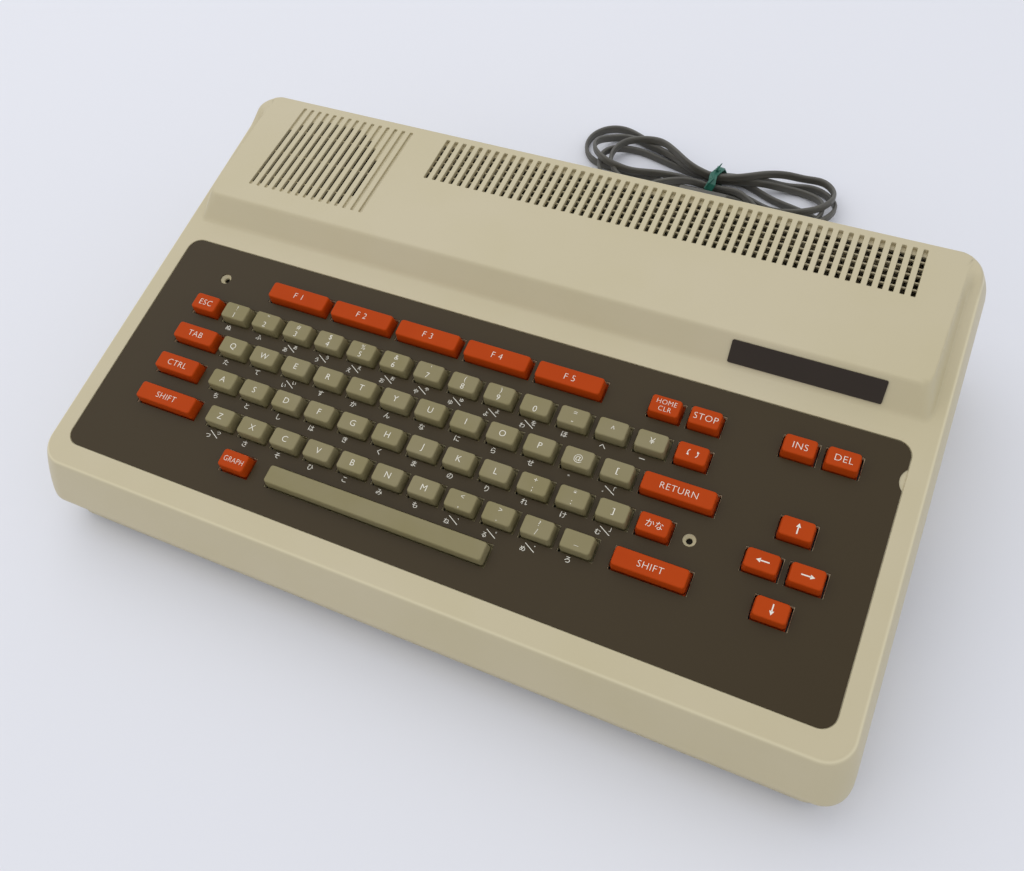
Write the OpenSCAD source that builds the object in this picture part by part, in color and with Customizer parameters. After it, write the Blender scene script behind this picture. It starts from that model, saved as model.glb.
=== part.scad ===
// Home computer of the early eighties: a sloping keyboard deck with a raised rear hump.
// The deck frame has X across, Y up the slope from the deck's front edge, Z normal to the deck.

/* [Case] */
// Overall height, from the table to the hump's rear edge
case_h = 90; // [84:1:96]
// Slope of the keyboard deck, in degrees
deck_slope = 8; // [7:0.5:9]
// Width of the flat deck
deck_w = 403; // [400:1:406]
// Length of the deck up the slope, front edge to rear edge
deck_l = 247.9; // [246:0.5:252]
// Depth of the upper case from the deck to its lower rim
rim_drop = 26.5; // [25:0.5:28]
// How much wider the rim is than the deck, each side
side_flare = 8.1; // [6:0.1:10]
// How far the rim stands in front of the deck
front_flare = 12.9; // [11:0.1:14]
// How far the rim stands behind the deck
rear_flare = 5.2; // [4:0.1:7]
// Corner radius of the case in plan
corner_r = 14; // [11:0.5:17]
// Thickness of the case walls
wall = 3; // [2.6:0.1:3.4]
// Height of the soft edge around the deck
edge_r = 2; // [1:0.1:2.5]
// How far the lower case stands in from the rim
lower_inset = 5; // [4.5:0.1:6]
// Thickness of the lower case
lower_wall = 2.5; // [2.2:0.1:2.8]

/* [Hump] */
// Where the hump's front slope starts, up the deck
hump_foot = 156; // [155:0.5:158]
// Run of the hump's front slope
hump_run = 11.8; // [10:0.1:13]
// Height of the hump's front edge over the deck
hump_h = 12; // [11:0.1:13]
// Angle of the hump's top down from the deck plane
hump_fall = 5.8; // [5:0.1:6]
// Width of the hump's flat top
hump_w = 385; // [380:1:388]
// Corner radius of the hump in plan
hump_r = 6; // [4:0.5:8]
// Width of the hump at the deck
hump_base_w = 399; // [396:1:401]

/* [Grilles] */
// Pitch of the grille slots
slot_pitch = 5; // [4.8:0.1:5]
// Width of one slot
slot_w = 2.2; // [1.8:0.1:2.6]
// Number of slots over the loudspeaker
speaker_slots = 15; // [11:1:15]
// Length of the loudspeaker slots
speaker_slot_l = 62.5; // [58:0.5:64]
// Middle of the loudspeaker grille across the case
speaker_x = -137.7; // [-140:0.1:-136]
// Front end of the loudspeaker slots on the hump's top
speaker_slot_y = 12.3; // [11:0.1:13]
// Radius of the round opening under the loudspeaker slots
speaker_hole_r = 33; // [31:0.5:33]
// Depth of the blind part of the loudspeaker slots
blind_depth = 1.4; // [1:0.1:1.8]
// Number of vent slots
vent_slots = 52; // [40:1:52]
// Length of the vent slots
vent_l = 29.9; // [26:0.1:31]
// First vent slot across the case
vent_x = -79.8; // [-84:0.1:-76]
// Front end of the vent slots on the hump's top
vent_y = 45.7; // [44:0.1:46]
// Pitch of the cross ribs under the vents
rib_pitch = 4.4; // [4:0.1:5]
// Width of a cross rib
rib_w = 1.2; // [1:0.1:1.5]
// Height of a cross rib
rib_h = 1.6; // [1:0.1:2]

/* [Keyboard] */
// Pitch of the keys along a row
key_pitch = 19.05; // [19:0.05:19.2]
// Pitch of the rows
row_pitch = 18.75; // [18.5:0.05:19.05]
// Middle of the first number key across the case
first_key_x = -142; // [-143:0.5:-141]
// Middle of the number row up the deck
number_row_y = 106.4; // [105:0.1:107.5]
// Width of a key's top
cap_w = 14.15; // [13.8:0.05:14.3]
// Depth of a key's top
cap_l = 8.95; // [8.5:0.05:9.5]
// Height of a key's top over the deck
cap_rise = 5; // [4:0.1:5.5]
// How much each side of a key slopes out
cap_draft = 0.5; // [0.3:0.05:0.6]
// Gap around a key in its opening
key_gap = 0.7; // [0.6:0.05:0.9]
// Travel of a key
key_travel = 2.5; // [2:0.1:2.8]
// Column of the first cursor key, in key pitches
cluster_col = 15.26; // [15.2:0.01:15.3]
// Middle of the space bar, in key pitches
space_col = 6.29; // [6:0.01:6.5]
// Extra width of the space bar, in key pitches
space_span = 5.28; // [5:0.01:5.5]
// Thickness of a key's stem
stem_w = 5; // [4:0.1:6]
// Gap around a stem in the guide frame
stem_gap = 0.3; // [0.2:0.05:0.5]
// Thickness of the guide frame's plate
guide_t = 2; // [1.6:0.1:2.4]
// Half width of the guide frame
guide_half_w = 187; // [187:0.1:188]
// Front edge of the guide frame up the deck
guide_front = 18; // [17:0.5:19]
// Rear edge of the guide frame up the deck
guide_rear = 142; // [141:0.5:143]
// Radius of a dome at its foot
dome_r = 4.6; // [4:0.1:5]
// Thickness of the rubber dome sheet
dome_sheet_t = 1; // [0.8:0.1:1.4]
// Thickness of the circuit boards
board_t = 1.6; // [1.2:0.1:2]
// Thickness of the steel backing plate
backplate_t = 1.2; // [1:0.1:1.6]

/* [Overlay and nameplate] */
// Width of the brown overlay sheet
overlay_w = 388.2; // [386:0.2:389]
// Front edge of the overlay up the deck
overlay_front = 12.3; // [12:0.1:13]
// Depth of the overlay sheet up the deck
overlay_l = 131.4; // [130:0.1:132]
// Corner radius of the overlay
overlay_r = 7; // [5:0.5:9]
// Thickness of the overlay
overlay_t = 0.5; // [0.3:0.1:0.6]
// Depth of the shallow recess that holds the overlay
recess_depth = 0.8; // [0.7:0.1:1]
// Gap between the overlay and the lip of its recess
lip_gap = 1.3; // [0.8:0.1:1.6]
// Radius of the finger notch in the overlay's right edge
notch_r = 7.7; // [7:0.1:9]
// Depth of the finger notch
notch_depth = 2.2; // [1.8:0.1:3]
// Middle of the finger notch up the deck
notch_y = 126; // [120:1:130]
// Width of the nameplate
nameplate_w = 70.7; // [60:0.1:74]
// Height of the nameplate
nameplate_l = 11.2; // [9:0.1:11.5]
// Thickness of the nameplate
nameplate_t = 0.8; // [0.5:0.1:1]
// Middle of the nameplate across the case
nameplate_x = 140.5; // [130:0.5:145]

/* [Screws and posts] */
// Radius of a deck well
well_r = 2.9; // [2.7:0.1:3.2]
// Depth of a deck well
well_depth = 5; // [4.5:0.1:5.2]
// Radius of a screw shank
screw_r = 1.4; // [1.2:0.05:1.6]
// Gap around a screw in its hole
screw_gap = 0.15; // [0.1:0.05:0.2]
// Radius of a screw head
screw_head_r = 2.5; // [2.3:0.05:2.6]
// Height of a screw head
screw_head_h = 1.8; // [1.5:0.1:2]
// Radius of the case's screw posts
post_r = 4.5; // [4:0.1:5]
// How deep a case screw bites into its post
screw_bite = 9; // [7:1:10]
// Length of boss that a case screw clamps
screw_clamp = 16; // [12:1:18]
// Distance of the screw posts from the front and rear walls
post_inset = 15; // [14:1:18]

/* [Inside] */
// Height of the boards over the table
board_z = 12; // [11:0.5:13]
// Right edge of the main board, from the middle of the case
main_edge_x = 92; // [88:1:94]
// Radius of the boards' standoffs
standoff_r = 3.5; // [3:0.1:4]
// Height of a chip
chip_h = 4; // [3:0.5:5]
// Width of the modulator can
can_w = 48; // [40:1:52]
// Length of the modulator can
can_l = 34; // [28:1:38]
// Height of the modulator can
can_h = 20; // [18:1:24]
// Radius of the supply's capacitors
capacitor_r = 6; // [5:0.5:7]
// Height of the supply's capacitors
capacitor_h = 25; // [20:1:30]
// Height of the heat sink
heat_sink_h = 30; // [24:1:34]
// Number of fins on the heat sink
fins = 9; // [7:1:10]
// Radius of the loudspeaker's rim
speaker_r = 35.5; // [34:0.1:36]
// Depth of the loudspeaker
speaker_depth = 26; // [22:1:30]
// Depth of the bowl that holds its cone
bowl_depth = 13; // [11:1:15]
// Radius of its voice coil
coil_r = 11; // [9:0.5:12]
// Radius of its magnet
magnet_r = 21; // [18:1:22]
// Width of the transformer's core
transformer_w = 60; // [54:1:62]
// Depth of the transformer's core
transformer_l = 32; // [28:1:36]
// Height of the transformer
transformer_h = 44; // [38:1:50]
// How far the windings stand out of the core, front and back
winding_out = 7; // [5:0.5:9]
// Width of the keyboard cable
ribbon_w = 40; // [30:1:44]

/* [Sockets and controls] */
// Radius of the round sockets
socket_r = 8.5; // [8:0.1:9]
// Radius of the mouth of a round socket
socket_mouth_r = 6.6; // [6:0.1:7]
// Radius of the television jack
jack_r = 5.5; // [5:0.1:5.5]
// Radius of the television jack's mouth
jack_mouth_r = 4; // [3.5:0.1:4]
// Width of the printer socket
printer_w = 60; // [54:1:62]
// Height of the printer socket
printer_h = 16; // [14:0.5:16]
// Width of a joystick port
port_w = 32; // [29:0.5:33]
// Height of a joystick port
port_h = 12.6; // [12:0.1:13]
// Height of the rear sockets over the table
socket_z = 24; // [23:0.5:26]
// Height of the cartridge bay
bay_h = 18; // [16:0.5:19]
// Length of the cartridge bay's mouth
bay_l = 56; // [52:1:58]
// Middle of the cartridge bay along the case
bay_y = -15; // [-18:1:-12]
// Thickness of the bay's walls
bay_wall = 1.5; // [1.2:0.1:2]
// Radius of the volume wheel
wheel_r = 12; // [11:0.5:13]
// Thickness of the volume wheel
wheel_t = 3.5; // [2.5:0.5:4]
// Radius of the volume control's shaft
wheel_shaft_r = 2.5; // [2:0.1:3]
// How far the volume wheel stands out of the case
wheel_out = 3.5; // [2:0.5:4]
// Radius of the power rocker
rocker_r = 8; // [7:0.5:8.5]
// Width of the power rocker
rocker_w = 20; // [16:0.5:22]
// Radius of the rocker's pivot
pivot_r = 1.5; // [1.2:0.1:2]
// Height of the rubber feet
foot_h = 4; // [3:0.5:4.5]
// Radius of the rubber feet
foot_r = 9; // [7:0.5:10]

/* [Mains lead] */
// Width of the flat two-core lead
cord_w = 5.4; // [5:0.1:6]
// Where the lead leaves the case, from its middle
cord_x = 150; // [145:1:155]
// Height at which the lead leaves the case
cord_z = 24; // [22:1:26]
// Length of the strain relief outside the case
relief_l = 30; // [25:1:35]
// Radius of the strain relief in its hole
relief_r = 5; // [4.5:0.1:5.5]
// Length of the plug's body
plug_l = 38; // [34:1:42]
// Width of the plug's body
plug_w = 26; // [22:1:28]
// Height of the plug's body
plug_h = 16; // [14:1:18]
// Length of the plug's blades
blade_l = 17; // [16:0.5:18]
// Distance between the plug's blades
blade_pitch = 12.7; // [12.5:0.1:13]

/* [Hidden] */
$fn = 48;
eps = 0.01;
gap = 0.3;
cream = "#c6bda2";
brown = "#443c2f";
olive = "#93896e";
orange = "#c24a1c";

// Heights and places that follow from the sizes above
deck_y0 = -front_flare * cos(deck_slope) + rim_drop * sin(deck_slope);
deck_y1 = (deck_l + rear_flare) * cos(deck_slope) + rim_drop * sin(deck_slope);
mid_y = (deck_y0 + deck_y1) / 2;
hump_front = hump_foot + hump_run;
hump_top_l = (deck_l - hump_front) / cos(hump_fall);
hump_rear_h = hump_h - (deck_l - hump_front) * tan(hump_fall);
front_h = case_h - deck_l * sin(deck_slope) - hump_rear_h * cos(deck_slope);
slope_angle = atan2(hump_h, hump_run);
hump_tilt = deck_slope - hump_fall;
hump_y = hump_front * cos(deck_slope) - hump_h * sin(deck_slope) - mid_y;
hump_z = front_h + hump_front * sin(deck_slope) + hump_h * cos(deck_slope);

// Height of the plane w over the deck, at y from the middle of the case
function deck_z(y, w) = front_h + (y + mid_y) * tan(deck_slope) + w / cos(deck_slope);
// Height of the plane w over the hump's top
function hump_top_z(y, w) = hump_z + (y - hump_y) * tan(hump_tilt) + w / cos(hump_tilt);

// Keyboard stack, measured down from the deck
deck_under = -wall;
flange_top = deck_under - gap;
flange_t = 1.2;
cap_bottom = flange_top - flange_t;
guide_top = cap_bottom - key_travel - 0.5;
guide_bottom = guide_top - guide_t;
stem_end = guide_bottom - 1;
dome_top = stem_end - gap;
dome_h = key_travel + gap;
sheet_top = dome_top - dome_h;
sheet_bottom = sheet_top - dome_sheet_t;
key_board_bottom = sheet_bottom - board_t;
plate_bottom = key_board_bottom - backplate_t;
overlay_z = -recess_depth;
skirt_w = cap_w + 2 * cap_draft;
skirt_l = cap_l + 2 * cap_draft;
open_w = skirt_w + 2 * key_gap;
open_l = skirt_l + 2 * key_gap;
flange_l = open_l + 2.4;

// Keys: column in key pitches, row counted up from the number row, extra width in key pitches
LONE_KEYS = [
    ["key_esc", -1, 0, 0], ["key_mode", 13, 0, 0],
    ["key_tab", -0.75, -1, 0.5], ["key_return", 13, -1, 1],
    ["key_ctrl", -0.75, -2, 0.5], ["key_kana", 12.75, -2, 0],
    ["key_shift_left", -0.5, -3, 1], ["key_shift_right", 13, -3, 1],
    ["key_graph", 2.25, -4, 0], ["key_space", space_col, -4, space_span],
    ["key_f1", 1.5, 1, 1], ["key_f2", 3.5, 1, 1], ["key_f3", 5.5, 1, 1],
    ["key_f4", 7.5, 1, 1], ["key_f5", 9.5, 1, 1],
    ["key_home", 12, 1, 0], ["key_stop", 13, 1, 0],
    ["key_insert", cluster_col, 1, 0], ["key_delete", cluster_col + 1, 1, 0],
    ["key_up", cluster_col + 0.5, -1, 0], ["key_left", cluster_col, -2, 0],
    ["key_right", cluster_col + 1, -2, 0], ["key_down", cluster_col + 0.5, -3, 0]
];
function row_keys(first, count, row) = [for (i = [0 : count - 1]) [first + i, row, 0]];
NUMBER_ROW = row_keys(0, 13, 0);
UPPER_ROW = row_keys(0.5, 12, -1);
HOME_ROW = row_keys(0.75, 12, -2);
LOWER_ROW = row_keys(1.25, 11, -3);
ALL_KEYS = concat([for (k = LONE_KEYS) [k[1], k[2], k[3]]], NUMBER_ROW, UPPER_ROW, HOME_ROW, LOWER_ROW);
function key_x(k) = first_key_x + k[0] * key_pitch;
function key_y(k) = number_row_y + k[1] * row_pitch;
function key_extra(k) = k[2] * key_pitch;
// A long key has a stem near each end as well
function stems(k) = k[2] > 3 ? [-2 * key_pitch, 0, 2 * key_pitch] : [0];

WELLS = [[first_key_x - key_pitch - 0.85, number_row_y + row_pitch], [116.75, number_row_y - 2 * row_pitch]];
under_x = guide_half_w - post_r - 0.5;
UNDER_SCREWS = [for (x = [-under_x, 0, under_x], y = [guide_front + 5, guide_rear - 5]) [x, y]];

// Lower case
lower_half_w = deck_w / 2 + side_flare - lower_inset;
rear_face = (deck_y1 - deck_y0) / 2 - lower_inset;
front_face = -rear_face;
lower_corner_r = corner_r - 2.5;
lip_top = -rim_drop + 4;
floor_top = foot_h + lower_wall;
board_top = board_z + board_t;
post_x = deck_w / 2 - 10;
FRONT_POST = [post_x, front_face + post_inset];
REAR_POST = [post_x - 3, rear_face - post_inset - 2];
front_join = deck_z(FRONT_POST[1], -rim_drop) - 1;
rear_join = deck_z(REAR_POST[1], -rim_drop) - 8;
FEET = [[-175, -95], [175, -95], [-175, 95], [175, 95]];

// Grilles
speaker_hole_x = speaker_x - slot_pitch;
speaker_hole_y = speaker_slot_y + 24.8;
speaker_seat = -wall - rib_h;
vent_x1 = vent_x + (vent_slots - 1) * slot_pitch;

// Sockets and controls
inner_rear = rear_face - lower_wall;
left_face = -lower_half_w;
DIN_X = [-150, -40];
printer_x = -95;
jack_x = 8;
fit = 0.2;
rocker_x = 96;
rocker_z = 30;
rocker_y = rear_face - 2;
rocker_rest = 6;
switch_w = rocker_w + 6;
switch_h = 2 * rocker_r + 4;
PORT_Y = [-38, 2];
wheel_y = 66;
wheel_z = 27;
pin_gap = 0.05;
wheel_x = left_face - wheel_out + wheel_r;
wheel_slot = sqrt(pow(wheel_r, 2) - pow(wheel_r - wheel_out - lower_wall, 2)) + 0.8;
main_x0 = left_face + lower_wall + 3;
main_y0 = FRONT_POST[1] + post_r + 1.5;
main_y1 = inner_rear - 2;
bay_x0 = main_edge_x + 8;
supply_x0 = bay_x0;
supply_x1 = lower_half_w - lower_wall - 8;
supply_y0 = bay_y + bay_l / 2 + 5;
supply_y1 = supply_y0 + 42;
transformer_x = (supply_x0 + supply_x1) / 2 + 7;
transformer_y = supply_y1 + transformer_l / 2 + 8;
// Rows of chips: first place, count, pitch, width, length
CHIP_ROWS = [
    [-172, -92, 8, 24, 7.6, 20], [-172, -64, 8, 24, 7.6, 20], [-150, -28, 4, 60, 52, 14],
    [-160, 38, 6, 38, 20, 7.6], [-120, 62, 2, 60, 36, 14]
];

// Mains lead
cord_r = cord_w / 2;
hank_x = 39;
hank_y = 226;
hank_l = 174;
hank_w = 38;
hank_h = 13;
hank_turn = -4;
tie_offset = 8;
LEAD = [[150, 156, 24], [150, 164, 22.5], [150, 172, 18.5], [149, 180, 12.5], [147, 188, 7],
        [143, 196, 4.5], [136, 204, 4], [128, 210, 4], [120, 214, 4]];
TAIL = [[-26, 214, 4], [-21, 205, 4], [-13, 197, 4], [-3, 191, 5], [9, 187, 7], [20, 186, 9], [31, 186, 10]];
PLUG = [30, 186, 10];

// Frames
module on_deck() { translate([0, -mid_y, front_h]) rotate([deck_slope, 0, 0]) children(); }
module on_hump() { on_deck() translate([0, hump_front, hump_h]) rotate([-hump_fall, 0, 0]) children(); }
module on_slope() { on_deck() translate([0, hump_foot, 0]) rotate([slope_angle, 0, 0]) children(); }

// Building blocks
module box(low, high) { translate(low) cube(high - low); }
// Block of width w and length l around the Z axis
module block(w, l, z0, z1) { translate([-w / 2, -l / 2, z0]) cube([w, l, z1 - z0]); }
module rounded_plate(x0, y0, x1, y1, r, z0, z1) {
    translate([0, 0, z0]) linear_extrude(z1 - z0) {
        translate([x0 + r, y0]) square([x1 - x0 - 2 * r, y1 - y0]);
        translate([x0, y0 + r]) square([x1 - x0, y1 - y0 - 2 * r]);
        for (x = [x0 + r, x1 - r], y = [y0 + r, y1 - r]) translate([x, y]) circle(r);
    }
}
// Thin rounded outline, for use inside a hull
module ring_corners(half_w, y0, y1, r, z) {
    for (x = [-half_w + r, half_w - r], y = [y0 + r, y1 - r])
        translate([x, y, z]) cylinder(h = eps, r = r, $fn = 32);
}
module tube_along(points, r, sides) {
    last = len(points) - 1;
    function dir(i) = let (d = points[min(i + 1, last)] - points[max(i - 1, 0)]) d / norm(d);
    function side(i) = let (s = cross(dir(i), [0, 0, 1])) s / norm(s);
    rings = [for (i = [0 : last]) for (j = [0 : sides - 1])
        points[i] + r * cos(360 * j / sides) * side(i) + r * sin(360 * j / sides) * cross(side(i), dir(i))];
    faces = concat(
        [[for (j = [0 : sides - 1]) j]],
        [for (i = [0 : last - 1], j = [0 : sides - 1]) let (a = i * sides, b = a + sides, k = (j + 1) % sides)
            [a + j, b + j, b + k, a + k]],
        [[for (j = [sides - 1 : -1 : 0]) last * sides + j]]);
    polyhedron(rings, faces, convexity = 6);
}
module frustum(w0, l0, z0, w1, l1, z1) {
    function ring(w, l, z) = [[-w / 2, -l / 2, z], [w / 2, -l / 2, z], [w / 2, l / 2, z], [-w / 2, l / 2, z]];
    polyhedron(concat(ring(w0, l0, z0), ring(w1, l1, z1)),
        [[0, 1, 2, 3], [7, 6, 5, 4], [4, 5, 1, 0], [5, 6, 2, 1], [6, 7, 3, 2], [7, 4, 0, 3]]);
}
module at_key(k) { translate([key_x(k), key_y(k), 0]) children(); }
module key_cuts(grow, z0, z1) {
    for (k = ALL_KEYS) at_key(k) block(open_w + key_extra(k) + 2 * grow, open_l + 2 * grow, z0, z1);
}
module upright(x, y, r, z0, z1) { translate([x, y, z0]) cylinder(h = z1 - z0, r = r); }
module holes_at(places, r, z0, z1) { for (p = places) upright(p[0], p[1], r, z0, z1); }
// Round bar that reaches forward from a point on the rear wall
module rear_bar(x, y, z, l, r) { translate([x, y, z]) rotate([90, 0, 0]) cylinder(h = l, r = r); }
module mirrored(p) { for (side = [-1, 1]) translate([side * p[0], p[1], 0]) children(); }

// Case
module hump_top() { translate([0, hump_front, hump_h]) rotate([-hump_fall, 0, 0]) children(); }
module case_outside() {
    hull() {
        ring_corners(deck_w / 2 + side_flare, -front_flare, deck_l + rear_flare, corner_r, -rim_drop);
        ring_corners(deck_w / 2 + 0.5, -0.8, deck_l + 0.4, corner_r, -edge_r - eps);
        ring_corners(deck_w / 2 - edge_r * 0.8, edge_r * 0.6, deck_l - edge_r * 0.5, corner_r - edge_r, -eps);
    }
    hull() {
        ring_corners(hump_base_w / 2, hump_foot, deck_l, hump_r, -edge_r - eps);
        ring_corners(hump_base_w / 2, hump_foot, deck_l, hump_r, -eps);
        hump_top() ring_corners(hump_w / 2, 0, hump_top_l, hump_r, -eps);
    }
}
module case_inside() {
    base_half_w = hump_base_w / 2 - wall - 1;
    foot = hump_foot + wall * 1.2;
    hull() {
        ring_corners(deck_w / 2 + side_flare - wall, wall - front_flare, deck_l + rear_flare - wall,
            corner_r - wall, -rim_drop - 1);
        ring_corners(deck_w / 2 - wall, wall, deck_l - wall, corner_r - wall, -wall - eps);
    }
    hull() {
        ring_corners(base_half_w, foot, deck_l - wall, hump_r - 1, -wall - 1);
        ring_corners(base_half_w, foot, deck_l - wall, hump_r - 1, -1);
        hump_top() ring_corners(hump_w / 2 - wall, wall * 0.45, hump_top_l - wall, hump_r - 1, -wall);
    }
}
module speaker_slot_cuts(z0) {
    x0 = speaker_x - (speaker_slots - 1) / 2 * slot_pitch;
    for (i = [0 : speaker_slots - 1]) translate([x0 + i * slot_pitch, speaker_slot_y + speaker_slot_l / 2, 0])
        block(slot_w, speaker_slot_l, z0, 1);
}
module upper_case() {
    color(cream) {
        on_deck() difference() {
            case_outside();
            case_inside();
            overlay_outline(lip_gap, -recess_depth, 1);
            key_cuts(0, -wall - 1, 1);
            holes_at(WELLS, well_r, -wall - 1, 1);
            hump_top() {
                speaker_slot_cuts(-blind_depth);
                intersection() {
                    speaker_slot_cuts(-wall - 1);
                    upright(speaker_hole_x, speaker_hole_y, speaker_hole_r, -wall - 2, 2);
                }
                for (i = [0 : vent_slots - 1]) translate([vent_x + i * slot_pitch, vent_y + vent_l / 2, 0])
                    block(slot_w, vent_l, -wall - 1, 1);
            }
        }
        // Wells down to the guide frame
        on_deck() difference() {
            holes_at(WELLS, post_r, guide_top, deck_under + eps);
            holes_at(WELLS, well_r, -well_depth, 0);
            holes_at(WELLS, screw_r + screw_gap, guide_top - 1, 0);
        }
        // Cross ribs under the grilles
        on_hump() {
            for (i = [-1 : 1]) translate([speaker_hole_x, speaker_hole_y + 4.2 + i * 18.1, -wall])
                box([-speaker_hole_r, -rib_w / 2, -rib_h], [speaker_hole_r, rib_w / 2, eps]);
            for (i = [0 : floor(vent_l / rib_pitch)]) translate([0, vent_y + 1.6 + i * rib_pitch, -wall])
                box([vent_x - 3, -rib_w / 2, -rib_h], [vent_x1 + 3, rib_w / 2, eps]);
        }
        // Screw posts
        mirrored(FRONT_POST) case_post(front_join, deck_z(FRONT_POST[1], -wall / 2));
        mirrored(REAR_POST) case_post(rear_join, hump_top_z(REAR_POST[1], -wall / 2));
    }
}
module case_post(z0, z1) {
    difference() {
        upright(0, 0, post_r, z0, z1);
        upright(0, 0, screw_r + screw_gap, z0 - 1, z0 + 11);
    }
}
module lower_block(inset, z0) {
    rounded_plate(-lower_half_w + inset, front_face + inset, lower_half_w - inset, rear_face - inset,
        lower_corner_r - inset, z0, case_h);
}
module lower_boss(join) {
    difference() {
        upright(0, 0, post_r, foot_h + eps, join);
        upright(0, 0, screw_r + screw_gap, foot_h, join + 1);
        upright(0, 0, screw_head_r + 0.5, foot_h - 1, join - screw_clamp);
    }
}
module rear_hole(x, z, r) { rear_bar(x, rear_face + 1, z, lower_wall + 3, r); }
module rear_window(x, z, w, h) {
    box([x - w / 2, inner_rear - 1, z - h / 2], [x + w / 2, rear_face + 1, z + h / 2]);
}
module left_window(y, half_l, z0, z1) {
    box([left_face - 1, y - half_l, z0], [left_face + lower_wall + 1, y + half_l, z1]);
}
module lower_case() {
    color(cream) {
        difference() {
            lower_block(0, foot_h);
            lower_block(lower_wall, floor_top);
            on_deck() box([-deck_w, -deck_l, lip_top], [deck_w, 2 * deck_l, case_h]);
            for (x = DIN_X) rear_hole(x, socket_z, socket_r + fit);
            rear_hole(jack_x, socket_z, jack_r + fit);
            rear_hole(cord_x, cord_z, relief_r + fit);
            rear_window(printer_x, socket_z, printer_w + 2 * fit, printer_h + 2 * fit);
            rear_window(rocker_x, rocker_z, switch_w + 2 * fit, switch_h + 2 * fit);
            for (y = PORT_Y) left_window(y, port_w / 2 + fit, board_top - fit, board_top + port_h + fit);
            left_window(wheel_y, wheel_slot, wheel_z - 1, wheel_z + wheel_t + 1);
            box([lower_half_w - lower_wall - 1, bay_y - bay_l / 2, board_z],
                [lower_half_w + 1, bay_y + bay_l / 2, board_z + bay_h]);
            mirrored(FRONT_POST) upright(0, 0, screw_head_r + 0.5, foot_h - 1, floor_top + 1);
            mirrored(REAR_POST) upright(0, 0, screw_head_r + 0.5, foot_h - 1, floor_top + 1);
        }
        mirrored(FRONT_POST) lower_boss(front_join);
        mirrored(REAR_POST) lower_boss(rear_join);
        for (x = [main_x0 + 20, -60, main_edge_x - 8], y = [main_y0 + 8, 0, main_y1 - 12])
            upright(x, y, standoff_r, floor_top - eps, board_z);
        for (x = [supply_x0 + 6, supply_x1 - 8], y = [supply_y0 + 8, supply_y1 - 8])
            upright(x, y, standoff_r, floor_top - eps, board_z);
        cartridge_bay();
    }
}
// Tray, side guides and roof that lead a cartridge to its connector
module cartridge_bay() {
    y0 = bay_y - bay_l / 2;
    y1 = bay_y + bay_l / 2;
    x1 = lower_half_w - lower_wall;
    difference() {
        box([bay_x0, y0 - bay_wall, floor_top - eps], [x1 + eps, y1 + bay_wall, board_z + bay_h + bay_wall]);
        box([bay_x0 - 1, y0, board_z], [x1 + 1, y1, board_z + bay_h]);
        box([bay_x0 - 1, y0, floor_top - 1], [x1 - 6, y1, board_z - bay_wall]);
    }
}
module overlay_outline(grow, z0, z1) {
    rounded_plate(-overlay_w / 2 - grow, overlay_front - grow, overlay_w / 2 + grow,
        overlay_front + overlay_l + grow, overlay_r + grow, z0, z1);
}
module keyboard_overlay() {
    color(brown) on_deck() difference() {
        overlay_outline(0, overlay_z, overlay_z + overlay_t);
        key_cuts(0.15, -wall, 1);
        holes_at(WELLS, well_r + 0.1, -wall, 1);
        upright(overlay_w / 2 + notch_r - notch_depth, notch_y, notch_r, -wall, 1);
    }
}
module nameplate() {
    slope_l = norm([hump_run, hump_h]);
    color("#38302a") on_slope() translate([nameplate_x, slope_l / 2 - 0.4, 0])
        block(nameplate_w, nameplate_l, 0, nameplate_t);
}

// Keyboard
module key_cap(k) {
    long_w = skirt_w + key_extra(k);
    at_key(k) {
        frustum(long_w, skirt_l, 0, long_w - 2 * cap_draft, cap_l, cap_rise);
        block(long_w, skirt_l, cap_bottom, 0);
        block(long_w, flange_l, cap_bottom, flange_top);
        for (x = stems(k)) translate([x, 0, 0]) block(stem_w, stem_w, stem_end, cap_bottom + eps);
    }
}
module lone_key(name) {
    for (k = LONE_KEYS) if (k[0] == name)
        color(name == "key_space" ? olive : orange) on_deck() key_cap([k[1], k[2], k[3]]);
}
module key_row(keys) { color(olive) on_deck() for (k = keys) key_cap(k); }
module guide_outline(inset, z0, z1) {
    box([inset - guide_half_w, guide_front + inset, z0], [guide_half_w - inset, guide_rear - inset, z1]);
}
module guide_frame() {
    rim_t = 2;
    hole = stem_w + 2 * stem_gap;
    color("#2a2926") on_deck() difference() {
        union() {
            guide_outline(0, guide_bottom, guide_top);
            difference() {
                guide_outline(0, sheet_top, deck_under);
                guide_outline(rim_t, sheet_top - 1, deck_under + 1);
            }
            holes_at(UNDER_SCREWS, post_r, sheet_top, guide_top);
        }
        for (k = ALL_KEYS, x = stems(k)) at_key(k) translate([x, 0, 0])
            block(hole, hole, guide_bottom - 1, guide_top + 1);
        holes_at(WELLS, screw_r + screw_gap, guide_bottom - 1, guide_top + 1);
        holes_at(UNDER_SCREWS, screw_r + screw_gap, sheet_top - 1, guide_top - 0.5);
    }
}
module layer(z0, z1, rear) {
    difference() {
        box([-guide_half_w, guide_front, z0], [guide_half_w, guide_rear + rear, z1]);
        holes_at(concat(WELLS, UNDER_SCREWS), screw_r + screw_gap, z0 - 1, z1 + 1);
    }
}
module dome_sheet() {
    color("#5a5a58") on_deck() {
        layer(sheet_bottom, sheet_top, 0);
        for (k = ALL_KEYS, x = stems(k)) at_key(k) translate([x, 0, sheet_top - eps])
            cylinder(h = dome_h + eps, r1 = dome_r, r2 = dome_r - 1.6);
    }
}
module keyboard_board() { color("#6b7a3c") on_deck() layer(key_board_bottom, sheet_bottom, 5); }
module backing_plate() { color("#9aa0a3") on_deck() layer(plate_bottom, key_board_bottom, 0); }
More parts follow.
